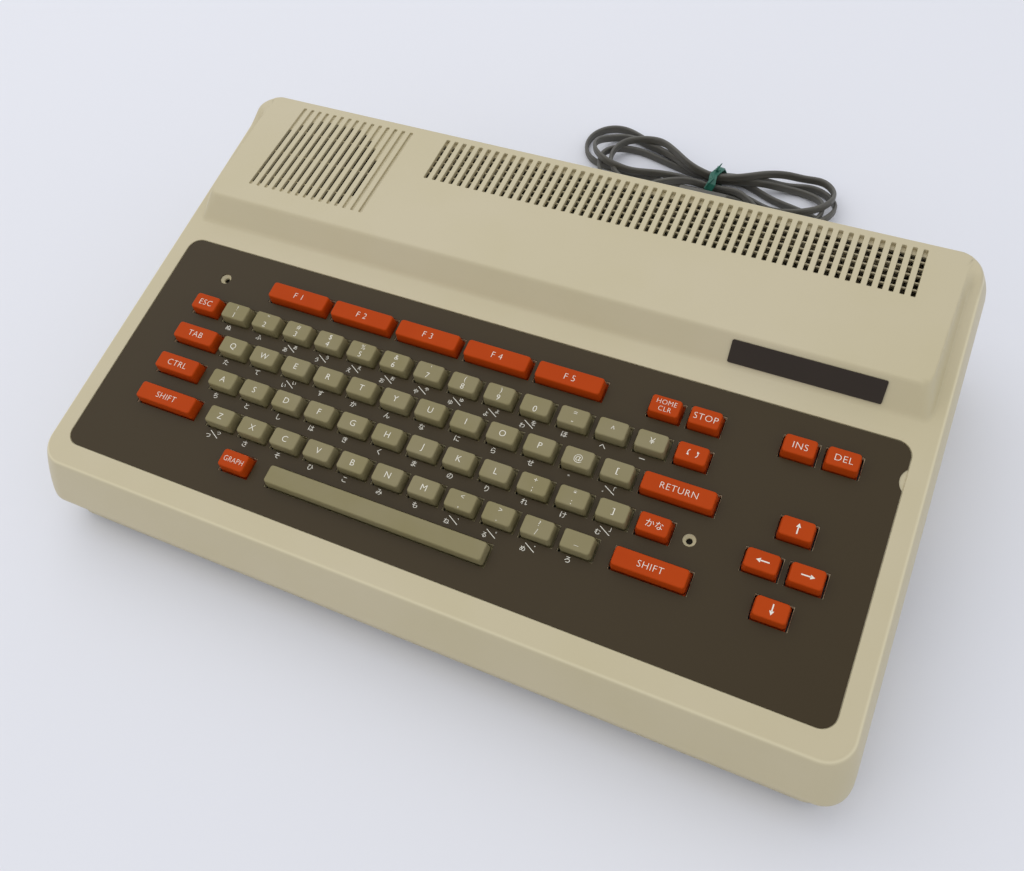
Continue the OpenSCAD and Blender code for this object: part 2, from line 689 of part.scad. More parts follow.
module screw(x, y, head_z, tip_z) {
    way = sign(head_z - tip_z);
    translate([x, y, min(head_z, tip_z)]) cylinder(h = abs(head_z - tip_z), r = screw_r);
    translate([x, y, way > 0 ? head_z : head_z - screw_head_h]) cylinder(h = screw_head_h, r = screw_head_r);
}
module keyboard_screws() {
    color("#3a3a3a") on_deck() {
        for (p = WELLS) screw(p[0], p[1], -well_depth, plate_bottom - 1);
        for (p = UNDER_SCREWS) screw(p[0], p[1], plate_bottom, guide_bottom);
    }
}

// Inside the lower case
module main_board() {
    color("#3f6b3a") difference() {
        box([main_x0, main_y0, board_z], [main_edge_x, main_y1, board_top]);
        box([main_x0 - 1, REAR_POST[1] - post_r - 1, board_z - 1],
            [-REAR_POST[0] + post_r + 1, main_y1 + 1, board_top + 1]);
    }
}
module ic_chips() {
    color("#1c1c1e") for (row = CHIP_ROWS, i = [0 : row[2] - 1])
        translate([row[0] + i * row[3], row[1], board_top]) cube([row[4], row[5], chip_h]);
}
module rf_modulator() {
    color("#c9ccce") {
        translate([jack_x, main_y1 - 2 - can_l / 2, 0]) block(can_w, can_l, board_top, board_top + can_h);
        difference() {
            rear_bar(jack_x, rear_face + 0.5, socket_z, rear_face - main_y1 + 3, jack_r);
            rear_bar(jack_x, rear_face + 1, socket_z, 6, jack_mouth_r);
        }
    }
}
module power_board() {
    color("#8a7a3a") {
        box([supply_x0, supply_y0, board_z], [supply_x1, supply_y1, board_top]);
        for (i = [1 : 3]) translate([supply_x0 + i * 20, supply_y0 + capacitor_r + 6, board_top - eps])
            cylinder(h = capacitor_h, r = capacitor_r);
    }
}
module heat_sink() {
    plate_t = 2;
    fin_l = 6;
    fin_pitch = 9;
    color("#b4b8ba") translate([supply_x0 + 8, supply_y1 - 12, board_top]) {
        cube([fins * fin_pitch - 3, plate_t, heat_sink_h]);
        for (i = [0 : fins - 1]) translate([2 + i * fin_pitch, -fin_l, 0]) cube([2, fin_l + eps, heat_sink_h]);
    }
}
module transformer() {
    half_w = transformer_w / 2;
    half_l = transformer_l / 2;
    color("#4a4540") translate([transformer_x, transformer_y, floor_top]) {
        box([-half_w, -half_l, 0], [half_w, half_l, transformer_h]);
        box([10 - half_w, -half_l - winding_out, 8], [half_w - 10, half_l + winding_out, transformer_h - 8]);
    }
}
module on_speaker() { on_hump() translate([speaker_hole_x, speaker_hole_y, speaker_seat]) children(); }
// Radius of the bowl that holds the loudspeaker's cone, at a height over its bottom
function bowl_r(height) = coil_r + (speaker_r - 4 - coil_r) * height / bowl_depth;
module speaker_frame() {
    color("#7b7d7f") on_speaker() difference() {
        union() {
            upright(0, 0, speaker_r, -2, 0);
            translate([0, 0, -bowl_depth - 3])
                cylinder(h = bowl_depth + 3, r1 = coil_r + 4, r2 = speaker_r - 2);
            upright(0, 0, magnet_r, -speaker_depth, -bowl_depth - 2);
        }
        translate([0, 0, -bowl_depth]) cylinder(h = bowl_depth + 1, r1 = coil_r, r2 = bowl_r(bowl_depth + 1));
    }
}
module speaker_cone() {
    cone_t = 1;
    cone_h = bowl_depth - gap;
    r0 = coil_r - gap;
    r1 = bowl_r(cone_h) - gap;
    color("#2b2724") on_speaker() translate([0, 0, -bowl_depth]) difference() {
        cylinder(h = cone_h, r1 = r0, r2 = r1);
        translate([0, 0, cone_t]) cylinder(h = cone_h, r1 = r0 - cone_t, r2 = r1 - cone_t);
    }
}
// Two round sockets and the flat printer socket
module rear_sockets() {
    color("#2e2e30") {
        for (x = DIN_X) difference() {
            union() {
                translate([x, main_y1 - 8, 0])
                    block(2 * socket_r + 3, 16, board_top, socket_z + socket_r + 0.5);
                rear_bar(x, rear_face + 0.5, socket_z, rear_face - main_y1 + 2, socket_r);
            }
            rear_bar(x, rear_face + 1, socket_z, 10, socket_mouth_r);
        }
        difference() {
            union() {
                box([printer_x - printer_w / 2, main_y1 - 14, board_top],
                    [printer_x + printer_w / 2, inner_rear - gap, socket_z + printer_h / 2]);
                box([printer_x - printer_w / 2, inner_rear - 1, socket_z - printer_h / 2],
                    [printer_x + printer_w / 2, rear_face + 0.3, socket_z + printer_h / 2]);
            }
            box([printer_x - printer_w / 2 + 3, rear_face - 10, socket_z - printer_h / 5],
                [printer_x + printer_w / 2 - 3, rear_face + 1, socket_z + printer_h / 5]);
        }
    }
}
module joystick_ports() {
    port_z = board_top + port_h / 2;
    color("#55585a") for (y = PORT_Y) translate([left_face, y, port_z]) difference() {
        box([-0.3, -port_w / 2, -port_h / 2], [14, port_w / 2, port_h / 2]);
        box([-1, -9, 2 - port_h / 2], [7, 9, port_h / 2 - 2]);
    }
}
module cartridge_connector() {
    half_l = bay_l / 2 - 2;
    color("#27323a") difference() {
        box([main_edge_x - 8, bay_y - half_l, board_top], [bay_x0 - 2, bay_y + half_l, board_z + bay_h - 1]);
        box([main_edge_x - 4, bay_y - half_l + 3, board_z + 6.4],
            [bay_x0 - 1, bay_y + half_l - 3, board_z + 11]);
    }
}
module power_switch_body() {
    half_w = rocker_w / 2 + gap;
    color("#262628") difference() {
        union() {
            box([rocker_x - switch_w / 2, rocker_y - rocker_r - 6, rocker_z - switch_h / 2],
                [rocker_x + switch_w / 2, rear_face, rocker_z + switch_h / 2]);
            box([rocker_x - switch_w / 2 - 2, rear_face, rocker_z - switch_h / 2 - 2],
                [rocker_x + switch_w / 2 + 2, rear_face + 1.5, rocker_z + switch_h / 2 + 2]);
        }
        translate([rocker_x, rocker_y, rocker_z]) rotate([0, 90, 0]) {
            cylinder(h = 2 * half_w, r = rocker_r + gap, center = true);
            cylinder(h = rocker_w + 4, r = pivot_r + pin_gap, center = true);
        }
        box([rocker_x - half_w, rocker_y, rocker_z - rocker_r - gap],
            [rocker_x + half_w, rear_face + 2, rocker_z + rocker_r + gap]);
    }
}
// The rocker's face is a shallow valley, and its lower half lies pressed in
module power_rocker() {
    face_y = 3.2;
    color("#1b1b1d") translate([rocker_x, rocker_y, rocker_z])
    rotate([-rocker_rest, 0, 0]) rotate([0, 90, 0]) {
        difference() {
            cylinder(h = rocker_w, r = rocker_r, center = true);
            intersection_for (side = [-1, 1]) rotate(2 * side * rocker_rest)
                translate([-2 * rocker_r, face_y, -rocker_w]) cube([4 * rocker_r, rocker_r, 2 * rocker_w]);
        }
        cylinder(h = rocker_w + 3.4, r = pivot_r, center = true);
    }
}
module volume_control() {
    color("#5c5f62") difference() {
        box([wheel_x - 5, wheel_y - 8, board_top], [wheel_x + 9, wheel_y + 8, wheel_z - gap]);
        upright(wheel_x, wheel_y, wheel_shaft_r + pin_gap, wheel_z - 7, wheel_z);
    }
}
module volume_wheel() {
    ridges = 24;
    color("#26262a") {
        difference() {
            upright(wheel_x, wheel_y, wheel_r, wheel_z, wheel_z + wheel_t);
            for (i = [1 : ridges]) translate([wheel_x, wheel_y, 0]) rotate(i * 360 / ridges)
                upright(wheel_r + 0.35, 0, 0.8, wheel_z - 1, wheel_z + wheel_t + 1);
        }
        upright(wheel_x, wheel_y, wheel_shaft_r, wheel_z - 6, wheel_z + eps);
    }
}
module rubber_feet() { color("#3c3a37") for (p = FEET) upright(p[0], p[1], foot_r, 0, foot_h); }
module case_screws() {
    color("#8f9294") {
        mirrored(FRONT_POST) screw(0, 0, front_join - screw_clamp, front_join + screw_bite);
        mirrored(REAR_POST) screw(0, 0, rear_join - screw_clamp, rear_join + screw_bite);
    }
}
// Flat cable that hangs from the keyboard board into a socket on the main board
module ribbon_cable() {
    cable_y = guide_rear + 3;
    drop = 36;
    foot_y = cable_y * cos(deck_slope) - (key_board_bottom - drop) * sin(deck_slope) - mid_y;
    color("#9b9ca0") translate([-50, 0, 0]) {
        on_deck() translate([0, cable_y, 0]) block(ribbon_w, 0.8, key_board_bottom - drop, key_board_bottom);
        translate([0, foot_y, 0])
            block(ribbon_w + 8, 8, board_top, deck_z(foot_y, key_board_bottom - drop + 4));
    }
}

// Mains lead
module strain_relief() {
    color("#3d3c34") translate([cord_x, 0, cord_z]) rotate([-90, 0, 0]) {
        translate([0, 0, inner_rear - 3]) cylinder(h = 3, r = relief_r + 3);
        translate([0, 0, inner_rear - eps]) cylinder(h = lower_wall + 1, r = relief_r);
        translate([0, 0, rear_face]) cylinder(h = relief_l, r1 = relief_r + 1.5, r2 = cord_r + 0.7);
    }
}
module power_cord() {
    color("#4c4c41") {
        tube_along(LEAD, cord_r, 10);
        tube_along(TAIL, cord_r, 10);
    }
}
module on_hank() { translate([hank_x, hank_y, 0]) rotate(hank_turn) children(); }
module cord_hank() {
    run = hank_l - hank_w;
    color("#4c4c41") on_hank() linear_extrude(hank_h) {
        square([run, hank_w], center = true);
        for (side = [-1, 1]) translate([side * run / 2, 0]) circle(hank_w / 2);
    }
}
module cord_tie() {
    color("#1f6b57") on_hank() difference() {
        box([tie_offset - 3, -hank_w / 2 - 1, 0], [tie_offset + 3, hank_w / 2 + 1, hank_h + 1]);
        box([tie_offset - 4, -hank_w / 2, -1], [tie_offset + 4, hank_w / 2, hank_h]);
    }
}
module plug_body() {
    nose_l = 8;
    color("#3d3c34") translate(PLUG) {
        box([0, -plug_w / 2, -plug_h / 2], [plug_l - nose_l, plug_w / 2, plug_h / 2]);
        box([plug_l - nose_l - eps, 2 - plug_w / 2, 1 - plug_h / 2], [plug_l, plug_w / 2 - 2, plug_h / 2 - 1]);
    }
}
module plug_blades() {
    color("#c8b878") for (side = [-1, 1]) translate(PLUG + [plug_l, side * blade_pitch / 2, 0])
        box([0, -0.8, -3.2], [blade_l, 0.8, 3.2]);
}

upper_case();
lower_case();
keyboard_overlay();
nameplate();
guide_frame();
dome_sheet();
keyboard_board();
backing_plate();
keyboard_screws();
main_board();
ic_chips();
rf_modulator();
power_board();
transformer();
heat_sink();
speaker_frame();
speaker_cone();
rear_sockets();
joystick_ports();
cartridge_connector();
power_switch_body();
power_rocker();
volume_control();
volume_wheel();
rubber_feet();
case_screws();
ribbon_cable();
strain_relief();
power_cord();
cord_hank();
cord_tie();
plug_body();
plug_blades();
lone_key("key_esc");  // key_esc
lone_key("key_mode");  // key_mode
lone_key("key_tab");  // key_tab
lone_key("key_return");  // key_return
lone_key("key_ctrl");  // key_ctrl
lone_key("key_kana");  // key_kana
lone_key("key_shift_left");  // key_shift_left
lone_key("key_shift_right");  // key_shift_right
lone_key("key_graph");  // key_graph
lone_key("key_space");  // key_space
lone_key("key_f1");  // key_f1
lone_key("key_f2");  // key_f2
lone_key("key_f3");  // key_f3
lone_key("key_f4");  // key_f4
lone_key("key_f5");  // key_f5
lone_key("key_home");  // key_home
lone_key("key_stop");  // key_stop
lone_key("key_insert");  // key_insert
lone_key("key_delete");  // key_delete
lone_key("key_up");  // key_up
lone_key("key_left");  // key_left
lone_key("key_right");  // key_right
lone_key("key_down");  // key_down
key_row(NUMBER_ROW);  // keys_number_row
key_row(UPPER_ROW);  // keys_upper_row
key_row(HOME_ROW);  // keys_home_row
key_row(LOWER_ROW);  // keys_lower_row
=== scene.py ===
# Early home computer: cream case with a raised rear hump, brown keyboard panel, orange and olive keys, and
# a mains lead folded into a tied hank. Dictionaries are in mm; the deck frame is X across, Y up the slope.
from math import asin, atan2, copysign, cos, degrees, exp, hypot, pi, radians, sin, sqrt, tan

import bmesh
import bpy
from mathutils import Matrix, Vector
from mathutils.geometry import delaunay_2d_cdt


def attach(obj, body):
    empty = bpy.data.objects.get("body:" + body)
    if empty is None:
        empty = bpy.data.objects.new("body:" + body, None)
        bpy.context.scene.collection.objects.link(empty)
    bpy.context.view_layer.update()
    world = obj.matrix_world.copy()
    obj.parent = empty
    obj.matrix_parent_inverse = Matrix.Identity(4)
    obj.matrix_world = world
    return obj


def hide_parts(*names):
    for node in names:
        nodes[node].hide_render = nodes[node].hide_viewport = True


mm = 0.001

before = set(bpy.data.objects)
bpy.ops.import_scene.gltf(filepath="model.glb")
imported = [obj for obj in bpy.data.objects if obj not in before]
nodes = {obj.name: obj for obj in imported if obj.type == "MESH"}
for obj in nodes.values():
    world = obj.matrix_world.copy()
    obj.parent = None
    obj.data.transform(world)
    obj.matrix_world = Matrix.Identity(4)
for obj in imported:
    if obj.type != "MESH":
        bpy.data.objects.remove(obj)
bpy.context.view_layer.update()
print("loaded", len(nodes), "nodes")


def linearColour(code):
    channels = [int(code[i : i + 2], 16) / 255 for i in (1, 3, 5)]
    return [c / 12.92 if c <= 0.04045 else ((c + 0.055) / 1.055) ** 2.4 for c in channels] + [1.0]


def addNode(tree, kind, sockets=None, **settings):
    node = tree.nodes.new("ShaderNode" + kind)
    for name, value in settings.items():
        setattr(node, name, value)
    for key, value in (sockets or {}).items():
        if isinstance(value, bpy.types.NodeSocket):
            tree.links.new(value, node.inputs[key])
        else:
            node.inputs[key].default_value = value
    return node


def perMetre(size):
    return 1 / (size * mm)  # texture scale for a feature of this many millimetres


def blankMaterial(name):
    material = bpy.data.materials.new(name)
    material.use_nodes = True
    material.node_tree.nodes.clear()
    return material, material.node_tree


def addObject(name, data):
    made = bpy.data.objects.new(name, data)
    bpy.context.scene.collection.objects.link(made)
    return made


def showPiece(name, mesh, material, body="case"):
    piece = addObject(name, mesh)
    mesh.materials.append(material)
    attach(piece, body)
    return piece


# Camera
shot = {
    "eye": (154.79, -242.645, 440.933),
    "right": (0.909871, 0.404095, -0.094031),
    "down": (0.294394, -0.788515, -0.539978),
    "forward": (-0.292347, 0.463628, -0.836410),
    "lens": 33.63,
    "sensor": 36,
}
lens = bpy.data.cameras.new("studioCamera")
lens.lens = shot["lens"]
lens.sensor_width = shot["sensor"]
lens.clip_start = 0.01
camera = addObject("studioCamera", lens)
axes = Matrix([shot["right"], [-x for x in shot["down"]], [-x for x in shot["forward"]]]).transposed()
camera.matrix_world = Matrix.Translation(Vector(shot["eye"]) * mm) @ axes.to_4x4()
bpy.context.scene.camera = camera
print("camera set")


# Frames of the case
case = {
    "slope": 8.0, "midY": 122.6193, "frontH": 51.673,
    "deckW": 407.6, "deckL": 247.9, "frontR": 13.0, "rearR": 12.5,
    "rimDrop": 26.5, "wall": 3.0,
    "sideFlare": 5.5, "sideBulge": 1.8, "frontFlare": 12.9, "rearFlare": 5.2,
    "humpFoot": 156.0, "humpRun": 11.8, "humpH": 12.0, "humpFall": 5.8,
    "humpSteep": 2.3, "humpFade": (220, 21), "humpBaseHalf": 198.0,
}
deckTilt = Matrix.Rotation(radians(case["slope"]), 4, "X")
humpTilt = Matrix.Rotation(radians(-case["humpFall"]), 4, "X")
humpFront = case["humpFoot"] + case["humpRun"]
onDeck = Matrix.Translation((0, -case["midY"], case["frontH"])) @ deckTilt
onHump = onDeck @ Matrix.Translation((0, humpFront, case["humpH"])) @ humpTilt


# Mains lead: out of the strain relief, down behind the case, three and a half turns of hank, and the plug
lead = {
    "width": 5.4, "thick": 2.8, "length": 1.5,
    "route": [(150, 130, 24), (150, 143, 24), (150, 156, 24), (150, 164, 22.5), (149.5, 172, 18), (148, 180, 12)]
    + [(144, 188, 6.5), (137, 196, 4.2), (128, 203, 3), (117, 209.5, 2.7), (104, 214, 2.7), (84, 218, 2.7)],
    "tail": [(-13, 203.5, 3), (-4, 200, 5), (5, 193.5, 8), (14, 188, 9.6), (22, 186.2, 10), (31, 186, 10)],
    "foldR": 19.0, "tie": (47, 220),
    "leftFolds": [(-27.5, 234.5), (-12, 217.5), (-19, 228), (-6, 223.5)],
    "rightFolds": [(104.5, 217.5), (98, 212), (102, 222.5)],
    "pinch": [8.4, -8.4, 5.6, -5.6, 2.8, -2.8, 0],  # sideways place of each pass through the tie
    "held": 16,  # straight on each side of the tie
    "lastArc": 12,  # points kept of the last fold
    "step": 2.5,
    "calm": 11,  # smoothing passes in plan
    "gap": 0.1,
    "onTop": 1.2,  # overlap at which one turn lies fully on another
    "near": 12,  # samples too close along the lead to cross
    "batch": 30,  # samples laid down together
    "search": (80, 60),  # samples that hold the first and the last touch of the floor
    "arch": 45,  # radius of the rise over a crossing
    "settled": 10,  # smoothing passes in height
    "runOut": 8, "sides": 20, "flatness": 0.75,
    "groove": (0.28, 0.75),  # share of the thickness, and half width
}


def foldAround(fromPoint, centre):
    # Straight run onto a fold, round it anticlockwise, and off it again
    r = lead["foldR"]
    away = Vector(centre) - Vector(fromPoint)
    lean = asin(r / away.length)
    start = atan2(away.y, away.x) - pi / 2 - lean
    turns = [start + (pi + 2 * lean) * k / 16 for k in range(17)]
    return [(centre[0] + r * cos(a), centre[1] + r * sin(a)) for a in turns]


def hankTurns():
    (tieX, tieY), held, pinch = lead["tie"], lead["held"], lead["pinch"]
    pts = [(tieX + held, tieY + pinch[0]), (tieX - held, tieY + pinch[0])]
    for i, left in enumerate(lead["leftFolds"]):
        fold = foldAround(pts[-1], left)
        if i == len(lead["leftFolds"]) - 1:
            return pts + fold[: lead["lastArc"]]
        pts += fold
        pts += [(tieX + side * held, tieY + pinch[2 * i + 1]) for side in (-1, 1)]
        pts += foldAround(pts[-1], lead["rightFolds"][i])
        pts += [(tieX + side * held, tieY + pinch[2 * i + 2]) for side in (1, -1)]


def smoothLine(points, spacing):
    # Even steps along the points, then relaxed so that no bend stays sharp
    out, carried = [Vector(points[0])], 0.0
    for a, b in zip(points, points[1:]):
        a, b = Vector(a), Vector(b)
        step = (b - a).length
        while step > 0 and carried + step >= spacing:
            a = a.lerp(b, (spacing - carried) / step)
            out.append(a)
            step = (b - a).length
            carried = 0.0
        carried += step
    out.append(Vector(points[-1]))
    for _ in range(lead["calm"]):
        out = [out[0]] + [(a + 2 * b + c) / 4 for a, b, c in zip(out, out[1:], out[2:])] + [out[-1]]
    return out


def settle(line, first, last):
    # Each sample rests on the floor or on the turns under it
    apart, tall = lead["thick"] + lead["gap"], lead["width"] + lead["gap"]
    near, batch = lead["near"], lead["batch"]
    heights = [p.z for p in line]
    for start in range(first, last, batch):
        stop = min(start + batch, last)
        support = []
        for i in range(start, stop):
            low = tall / 2
            for j in range(0, i - near):
                away = (line[i].xy - line[j].xy).length
                if away < apart:
                    low = max(low, heights[j] + tall * min(1, (apart - away) / lead["onTop"]))
            support.append(low)
        heights[start:stop] = support
    # A stiff lead rises to each crossing and falls from it on a wide arch
    lifted = heights[:]
    for i in range(first, last):
        around = range(max(i - near, 0), min(i + near + 1, last))
        lifted[i] = max(heights[j] - ((i - j) * lead["step"]) ** 2 / (2 * lead["arch"]) for j in around)
    stop = last + lead["runOut"]
    for _ in range(lead["settled"]):
        lifted[first:stop] = [(lifted[i - 1] + 2 * lifted[i] + lifted[i + 1]) / 4 for i in range(first, stop)]
    return [Vector((p.x, p.y, z)) for p, z in zip(line, lifted)]


def leadLine():
    start = [Vector(p) for p in lead["route"]]
    middle = [Vector((x, y, lead["width"] / 2)) for x, y in hankTurns()]
    tail = [Vector(p) for p in lead["tail"]]
    line = smoothLine(start + middle + tail, lead["step"])
    early, late = lead["search"]
    first = min(range(early), key=lambda i: (line[i] - start[-3]).length)
    last = min(range(len(line) - late, len(line)), key=lambda i: (line[i] - tail[1]).length)
    end = len(line) - 1
    # The flat section lies down at both ends and stands on edge through the hank
    turns = [pi / 2 * eased(i / first) * eased((end - i) / (end - last)) for i in range(end + 1)]
    return settle(line, first, last), turns


def eased(t):
    t = min(max(t, 0), 1)
    return t * t * (3 - 2 * t)


def joinRings(bm, a, b):
    for k in range(len(a)):
        bm.faces.new((a[k], a[(k + 1) % len(a)], b[(k + 1) % len(a)], b[k]))


def meshFrom(bm, name):
    bmesh.ops.recalc_face_normals(bm, faces=bm.faces)
    mesh = bpy.data.meshes.new(name)
    bm.to_mesh(mesh)
    bm.free()
    return mesh


def smooth(mesh):
    for face in mesh.polygons:
        face.use_smooth = True


def sweep(line, turns, section):
    # Carries a section along a line, turned a little more or less at each sample
    bm = bmesh.new()
    rings = []
    for i, p in enumerate(line):
        ahead = (line[min(i + 1, len(line) - 1)] - line[max(i - 1, 0)]).normalized()
        flat = ahead.cross(Vector((0, 0, 1))).normalized()
        side = Matrix.Rotation(turns[i], 3, ahead) @ flat
        top = side.cross(ahead)
        rings.append([bm.verts.new((p + side * x + top * z) * mm) for x, z in section])
    for a, b in zip(rings, rings[1:]):
        joinRings(bm, a, b)
    bm.faces.new(list(reversed(rings[0])))
    bm.faces.new(rings[-1])
    mesh = meshFrom(bm, "sweep")
    smooth(mesh)
    return mesh


def twinSection():
    # Two cores side by side under one jacket: a flat oval with a shallow groove along each face
    out, (depth, half) = [], lead["groove"]
    for k in range(lead["sides"]):
        a = 2 * pi * k / lead["sides"]
        x = lead["width"] / 2 * cos(a)
        z = lead["thick"] / 2 * copysign(abs(sin(a)) ** lead["flatness"], sin(a))
        out.append((x, z * (1 - depth * exp(-((x / half) ** 2)))))
    return out


cordLine, cordTurns = leadLine()
print("lead", round(sum((b - a).length for a, b in zip(cordLine, cordLine[1:]))), "mm long")


# Materials. Each one is named for what the real thing is made of.
def grained(name, colour, stain, roughness, mottle, grain, relief, specular=0.5, metallic=0.0, rubbed=None):
    # Colour drifts slowly over the piece, and a fine grain breaks up the gloss
    swing = 0.06  # how far the grain moves the roughness
    material, tree = blankMaterial(name)
    place = addNode(tree, "TexCoord").outputs["Object"]
    cloud = {"Vector": place, "Scale": perMetre(mottle), "Detail": 3.0, "Roughness": 0.6}
    patches = addNode(tree, "TexNoise", cloud).outputs["Fac"]
    drift = {"Value": patches, "From Min": 0.35, "From Max": 0.7, "To Max": 0.5}
    amount = addNode(tree, "MapRange", drift).outputs["Result"]
    tints = {0: amount, 6: linearColour(colour), 7: linearColour(stain)}
    paint = addNode(tree, "Mix", tints, data_type="RGBA").outputs[2]
    if rubbed:
        # The case's edges are painted paler than its faces: a painted highlight along the rounded edge, together
        # with some hand wear
        wearAndHighlightAmount = addNode(tree, "Attribute", attribute_name="rubbed").outputs["Fac"]
        share = addNode(tree, "MapRange", {"Value": wearAndHighlightAmount, "To Max": 0.7}).outputs["Result"]
        tints = {0: share, 6: paint, 7: linearColour(rubbed)}
        paint = addNode(tree, "Mix", tints, data_type="RGBA").outputs[2]
    pebble = addNode(tree, "TexNoise", {"Vector": place, "Scale": perMetre(grain), "Detail": 2.0}).outputs["Fac"]
    gloss = {"Value": pebble, "To Min": roughness - swing, "To Max": roughness + swing}
    bump = addNode(tree, "Bump", {"Height": pebble, "Distance": relief * mm, "Strength": 0.6})
    look = {
        "Base Color": paint,
        "Roughness": addNode(tree, "MapRange", gloss).outputs["Result"],
        "Normal": bump.outputs["Normal"],
        "Specular IOR Level": specular,
        "Metallic": metallic,
    }
    addNode(tree, "OutputMaterial", {"Surface": addNode(tree, "BsdfPrincipled", look).outputs["BSDF"]})
    return material


# Colour and drifted colour, roughness, mottling, grain and relief in mm, specular, metallic, edge colour
# (painted highlight and wear)
finishes = {
    # ABS moulded against a spark-eroded tool: an even, slightly pebbled satin that has yellowed unevenly; its
    # last colour is the paler edge, a painted highlight with some wear
    "creamAbs": ("#c1b696", "#baaf88", 0.4, 90, 0.9, 0.035, 0.45, 0, "#ddd3b0"),
    # Printed polycarbonate film with a matt face: flat dark brown with a faint haze
    "mattFilm": ("#3b301a", "#372c17", 0.44, 120, 0.7, 0.02, 0.2),
    # Acrylic nameplate film: smoother and darker than the panel
    "plateFilm": ("#332b24", "#2e2721", 0.34, 40, 0.6, 0.01, 0.16),
    # Double-shot ABS key caps, lightly textured on top
    "oliveAbs": ("#89805f", "#80774d", 0.46, 30, 0.5, 0.03, 0.15),
    "orangeAbs": ("#b1410e", "#a83a0a", 0.42, 30, 0.5, 0.03, 0.06),
    # The caps' other shot and the screened marks: warm white, dull and even
    "legendWhite": ("#e6e2d4", "#dad6c4", 0.5, 4, 0.4, 0.01, 0.2),
    # Unpainted ABS of sockets, switch and guide frame: dark, with a low satin
    "blackAbs": ("#2b2a29", "#242322", 0.45, 20, 0.5, 0.03),
    "greyAbs": ("#4a4a47", "#424240", 0.45, 20, 0.5, 0.03),
    # Moulded silicone rubber: dull, with dust in the texture
    "domeRubber": ("#5c5c58", "#666560", 0.7, 12, 0.6, 0.04),
    "footRubber": ("#3a3835", "#46443f", 0.75, 6, 0.6, 0.05),
    # Glass-epoxy laminate under green solder resist: glossy, with the weave just showing
    "solderResist": ("#3a6636", "#2f5a30", 0.3, 6, 0.8, 0.03),
    # Paper-phenolic laminate: brown and slightly waxy
    "phenolicBoard": ("#8f7a44", "#84703d", 0.5, 10, 0.7, 0.03),
    # Epoxy chip packages: near black and chalky
    "chipEpoxy": ("#1e1e20", "#262628", 0.55, 5, 0.4, 0.03),
    # Zinc-plated sheet steel: pale, with spangled patches
    "zincSteel": ("#a9adaf", "#94999b", 0.38, 7, 0.5, 0.01, 0.5, 1),
    # Stacked core laminations: dark, with a little rust
    "coreSteel": ("#4a4641", "#5b5148", 0.5, 5, 0.6, 0.05, 0.5, 1),
    # Blackened steel: nearly black, with a dull gleam
    "blackenedSteel": ("#1b1814", "#26221c", 0.45, 3, 0.3, 0.01, 0.5, 1),
    # Rolled brass blades: yellow and fairly bright
    "brass": ("#c9b272", "#b59c5c", 0.28, 4, 0.3, 0.01, 0.5, 1),
    # Extruded aluminium: a pale grey sheen
    "aluminium": ("#b5b9bb", "#a4a8aa", 0.35, 8, 0.4, 0.02, 0.5, 1),
    # Pressed paper pulp: fibres and a dusty black, painted darker than black paper as painted shade inside the
    # speaker
    "conePaper": ("#0b0908", "#110e0c", 0.9, 2, 0.5, 0.08, 0.05),
    # Ribbon cable in grey PVC: an even, soft grey
    "ribbonPvc": ("#8f9094", "#7f8084", 0.45, 1.3, 0.5, 0.03),
    # Soft PVC jacket: dull grey brown, faintly shiny where it has been handled
    "leadPvc": ("#5f5d56", "#504e48", 0.42, 15, 0.8, 0.04, 0.3),
    # PVC-covered wire tie: deep green, fairly glossy
    "tiePvc": ("#17614f", "#0f5243", 0.35, 3, 0.4, 0.02),
}
finish = {name: grained(name, *row) for name, row in finishes.items()}

nodeFinish = {
    "creamAbs": ["upper_case", "lower_case"],
    "mattFilm": ["keyboard_overlay"],
    "blackAbs": ["guide_frame", "rear_sockets", "cartridge_connector", "power_switch_body", "power_rocker"]
    + ["volume_wheel"],
    "greyAbs": ["joystick_ports", "volume_control"],
    "domeRubber": ["dome_sheet"], "footRubber": ["rubber_feet"],
    "phenolicBoard": ["keyboard_board", "power_board"], "solderResist": ["main_board"],
    "zincSteel": ["backing_plate", "rf_modulator"],
    "blackenedSteel": ["keyboard_screws", "case_screws", "speaker_frame"],
    "chipEpoxy": ["ic_chips"], "coreSteel": ["transformer"], "aluminium": ["heat_sink"],
    "conePaper": ["speaker_cone"], "ribbonPvc": ["ribbon_cable"],
    "leadPvc": ["strain_relief", "plug_body"], "brass": ["plug_blades"],
}


dressing = {
    "weld": 0.004,
    "sharp": 35,  # degrees from which an edge is rounded
    "edge": 0.15,
    "wideEdges": {"plug_body": 5.5, "strain_relief": 0.6, "upper_case": 0.4, "lower_case": 0.4},
}


def dress(node, material, width, segments):
    # Welds the node's facets, rounds its edges and keeps its flats flat
    for slot in node.material_slots:
        slot.material = material
    if not node.material_slots:
        node.data.materials.append(material)
    weld = node.modifiers.new("weld", "WELD")
    weld.merge_threshold = dressing["weld"] * mm
    edges = node.modifiers.new("edges", "BEVEL")
    edges.width = width * mm
    edges.segments = segments
    edges.limit_method = "ANGLE"
    edges.angle_limit = radians(dressing["sharp"])
    normals = node.modifiers.new("normals", "WEIGHTED_NORMAL")
    normals.keep_sharp = False
    smooth(node.data)


for name, members in nodeFinish.items():
    for member in members:
        wide = dressing["wideEdges"].get(member)
        dress(nodes[member], finish[name], wide or dressing["edge"], 3 if wide else 1)
print("nodes dressed")

leadMesh = sweep(cordLine, cordTurns, twinSection())
cordPiece = showPiece("mains_lead", leadMesh, finish["leadPvc"])
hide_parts("power_cord", "cord_hank")

